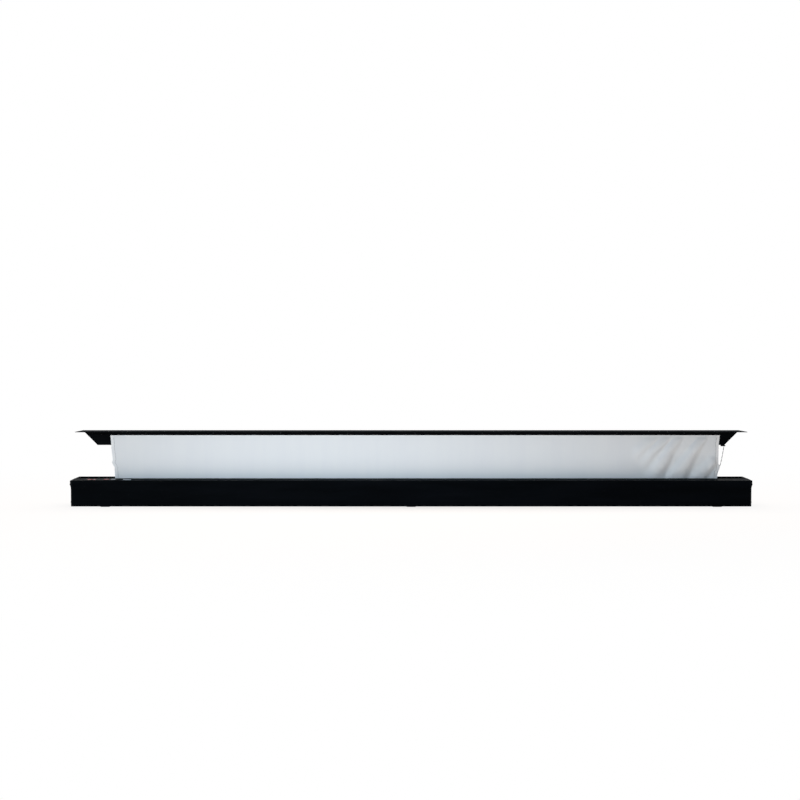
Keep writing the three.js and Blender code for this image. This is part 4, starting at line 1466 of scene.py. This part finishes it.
@dataclass
class ScreenSheet:
    """The tensioned sheet from the clamp rail to the roller, its tabs and its cords.

    The sheet lies in one upright plane but for its creases and a slow swell. It also sinks behind
    that plane between the creases. Slopes are given as a Pair: where each starts and where it ends.

    Attributes:
        left_edge: The outer edge of the left tab at rising heights, as (z, x).
        right_edge: That of the right tab.
        hold_slopes: Where the clamp rail and the slot let the sheet leave its plane.
        sink_slopes: Where it starts to sink from the left, and from the right.
        sink_top: Where it starts to sink from above.
        roof: The most that the sheet may stand forward.
        lip_roof: The same by the slot's lip.
        rail_roof: The same by the clamp rail.
        knee: How sharply it levels off below its roof.
        flat_allowance: What the creases add to its flat height.
        stitch_half: Half a stitch's width and height.
        stitch_depths: How far it stands out of the sheet, and how far it goes in.
        swing: The cord's way across at each knot, as a share of that between its ends.
        drop: The same for its way down.
        row_turn: The share of the rows that lies below a height: most lie above the deck.
        column_turn: The share of the columns that lies left of a share of the width: most lie at
            the creases.
    """

    plane_y: float = 3.85
    thickness: float = 0.32
    head_z: float = 328.4
    rail_z: float = 312.5
    foot_z: float = 45.0
    feed_z: float = 60.0
    left_edge: tuple[Pair, ...] = (
        (45.0, -1321.0), (119.8, -1321.0), (168.0, -1322.5), (180.0, -1329.0), (191.0, -1334.5),
        (203.0, -1331.0), (262.0, -1336.5), (328.7, -1341.0),
    )
    right_edge: tuple[Pair, ...] = (
        (45.0, 1368.0), (119.8, 1367.0), (147.0, 1368.0), (160.0, 1376.0), (173.0, 1378.0),
        (187.0, 1371.5), (259.0, 1372.0), (318.0, 1377.0), (328.7, 1377.0),
    )
    creases: tuple[Crease, ...] = (
        Crease((1044.0, 238.0), (1100.0, 305.0), 9.0, 34.0, 44.0, (76.0, 20.0), 0.6),
        Crease((1090.0, 220.0), (1156.0, 305.0), 13.0, 36.0, 38.0, (90.0, 20.0), 0.5),
        Crease((1134.0, 182.0), (1211.0, 305.0), 15.0, 48.0, 40.0, (76.0, 20.0), 0.42),
        Crease((1207.0, 112.0), (1317.0, 305.0), 24.0, 60.0, 46.0, (34.0, 20.0), 0.42),
        Crease((1300.0, 110.0), (1350.0, 176.0), 17.0, 38.0, 44.0, (34.0, 40.0), 0.8),
        Crease((1098.0, 110.0), (1152.0, 184.0), 9.0, 48.0, 50.0, (34.0, 60.0), 0.8),
    )
    hold_slopes: tuple[Pair, Pair] = ((311.5, 289.5), (93.8, 127.8))
    swell: float = 0.4
    swell_width: float = 240.0
    swell_height: float = 520.0
    swell_seed: float = 3.1
    sink: float = 4.5
    sink_slopes: tuple[Pair, Pair] = ((930.0, 1090.0), (1362.0, 1312.0))
    sink_top: Pair = (262.0, 216.0)
    roof: float = 15.4
    lip_roof: float = 7.4
    lip_slope: Pair = (120.8, 168.8)
    rail_roof: float = 3.0
    rail_slope: Pair = (312.5, 232.5)
    knee: int = 4
    flat_width: float = 2675.0
    flat_allowance: float = 1.6
    columns: int = 240
    rows: int = 92
    row_turn: Pair = (0.1, 115.8)
    column_turn: Pair = (0.38, 0.86)
    tab_width: float = 18.0
    tab_thickness: float = 0.288
    tab_behind: float = 0.34
    tab_allowance: float = 1.0
    tab_columns: int = 8
    weld: float = 6.0
    stitches: int = 29
    stitch_foot: float = 124.8
    stitch_pitch: float = 6.2
    stitch_inset: float = 14.2
    stitch_half: Pair = (0.7, 2.1)
    stitch_depths: Pair = (0.4, 0.1)
    stitch_edge: float = 0.18
    cord_radius: float = 1.25
    cord_sides: int = 12
    cord_y: float = 6.0
    cord_top: float = 262.4
    cord_foot: float = 60.0
    left_cord: Pair = (-1290.0, -1300.0)
    right_cord: Pair = (1396.0, 1366.0)
    swing: tuple[float, ...] = (0, 0.04, 0.2, 0.41, 0.68, 0.9, 1, 1)
    drop: tuple[float, ...] = (0, 0.05, 0.19, 0.35, 0.48, 0.58, 0.71, 1)
    cord_points: int = 33

    def build(self) -> None:
        """Makes the cords, the sheet, the tabs and their stitches."""
        self.cord("right", self.right_cord)
        self.cord("left", self.left_cord)
        self.sheet()
        self.tab("left", self.left_edge, 1)
        self.tab("right", self.right_edge, -1)

    def forward(self, x: float, z: float) -> float:
        """How far the sheet stands forward of its plane at a point.

        Args:
            x: The point's place across.
            z: Its height.

        Returns:
            The distance.
        """
        ridges = sum(crease.height(x, z) for crease in self.creases)
        spot = Vector((x / self.swell_width, z / self.swell_height, self.swell_seed))
        height = ridges + self.swell * (1 + noise.noise(spot))
        sink = self.sink * math.prod(rise(slope, x) for slope in self.sink_slopes)
        sink *= rise(self.sink_top, z)
        roof = sink + min(
            between(self.lip_roof, self.roof, rise(self.lip_slope, z)),
            between(self.rail_roof, self.roof, rise(self.rail_slope, z)),
        )
        held = math.prod(rise(slope, z) for slope in self.hold_slopes)
        return held * (height / (1 + (height / roof) ** self.knee) ** (1 / self.knee) - sink)

    def height_at(self, up: float) -> float:
        """The height of a row, from its share of the rows."""
        return two_paced((self.foot_z, self.head_z), self.row_turn, up)

    def stretch(self, made: Object, from_z: float) -> None:
        """Bakes a piece's placement into its mesh."""
        start, end = ((0.0, self.plane_y * MM, z * MM) for z in (from_z, self.feed_z))
        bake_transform(made)
        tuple(start)
        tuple(end)

    def sheet(self) -> None:
        """The white sheet itself."""
        inset = self.tab_width - self.weld

        def place(across: float, up: float) -> Vector:
            """A point of the sheet.

            Args:
                across: Its share of the way from left to right.
                up: Its share of the rows.

            Returns:
                The point.
            """
            z = self.height_at(up)
            left = along_knots(self.left_edge, z) + inset
            right = along_knots(self.right_edge, z) - inset
            x = between(left, right, two_paced((0.0, 1.0), self.column_turn, across))
            return Vector((x, self.plane_y - self.forward(x, z), z))

        mesh = bmesh.new()
        add_grid(mesh, self.columns, self.rows, place, self.thickness)
        nodes = ("screen_fabric", "fabric_feed")
        made = piece("tensioned_sheet", mesh, SCREEN_CLOTH, "", nodes)
        self.stretch(made, self.rail_z)

    def tab(self, side: str, edge: tuple[Pair, ...], way: int) -> None:
        """The film tab behind one edge of the sheet, with its row of stitches.

        Args:
            side: The side's name.
            edge: The tab's outer edge, as (z, x).
            way: 1 where the tab runs right from it, -1 where left.
        """

        def place(across: float, up: float) -> Vector:
            """A point of the tab.

            Args:
                across: Its share of the tab's width, from the outer edge.
                up: Its share of the rows.

            Returns:
                The point.
            """
            z = self.height_at(up)
            x = along_knots(edge, z) + way * self.tab_width * across
            return Vector((x, self.plane_y + self.tab_behind - self.forward(x, z), z))

        mesh = bmesh.new()
        add_grid(mesh, self.tab_columns, self.rows, place, self.tab_thickness)
        made = piece(side + "_tab_band", mesh, TAB_FILM, "", (side + "_tab",))
        self.stretch(made, self.rail_z)
        mesh = bmesh.new()
        (wide, tall), (out, root) = self.stitch_half, self.stitch_depths
        for index in range(self.stitches):
            z = self.stitch_foot + index * self.stitch_pitch
            x = along_knots(edge, z) + way * self.stitch_inset
            y = self.plane_y - self.forward(x, z) - self.thickness / 2
            low, high = (x - wide, y - out, z - tall), (x + wide, y + root, z + tall)
            add_block(mesh, low, high, self.stitch_edge, 1)
        self.stretch(piece(side + "_tab_stitches", mesh, THREAD, ""), self.rail_z)

    def cord(self, side: str, ends: Pair) -> None:
        """A tension cord, from its anchor on the beam down through the slot.

        Args:
            side: The side's name.
            ends: Its x at the top and at the foot.
        """
        top, foot = self.cord_top, self.cord_foot
        knots = [
            Vector((between(*ends, swing), self.cord_y, between(top, foot, drop)))
            for swing, drop in zip(self.swing, self.drop)
        ]
        path = smooth_path(knots, self.cord_points)
        mesh = bmesh.new()
        add_tube(mesh, path, self.cord_radius, self.cord_sides)
        made = piece(side + "_tension_cord", mesh, TENSION_BRAID, "", (side + "_cord",))
        self.stretch(made, top)
        route = [tuple(point * MM) for point in path]
        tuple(route[0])


def smooth_path(knots: list[Vector], count: int) -> list[Vector]:
    """Points at even steps on a smooth curve through knots.

    Args:
        knots: The points that the curve passes through.
        count: How many points to return.

    Returns:
        The points, the first and last knot among them.
    """
    ends = [2 * knots[0] - knots[1]] + knots + [2 * knots[-1] - knots[-2]]
    path = []
    for index in range(count):
        at = index / (count - 1) * (len(knots) - 1)
        span = min(int(at), len(knots) - 2)
        t = at - span
        a, b, c, d = ends[span : span + 4]
        bend = 2 * b + (c - a) * t + (2 * a - 5 * b + 4 * c - d) * t**2
        path.append((bend + (3 * b - a - 3 * c + d) * t**3) / 2)
    return path


def main() -> None:
    """Builds the studio and each sub-assembly."""
    logging.basicConfig(level=logging.INFO, format="%(message)s")
    Studio().build()
    for part in (ScreenSheet(), CaseShell(), Controls(), RollerDrive(), Lid()):
        part.build()
    for side, sign in (("left", -1), ("right", 1)):
        FoldingArm(side, sign).build()


if __name__ == "__main__":
    main()
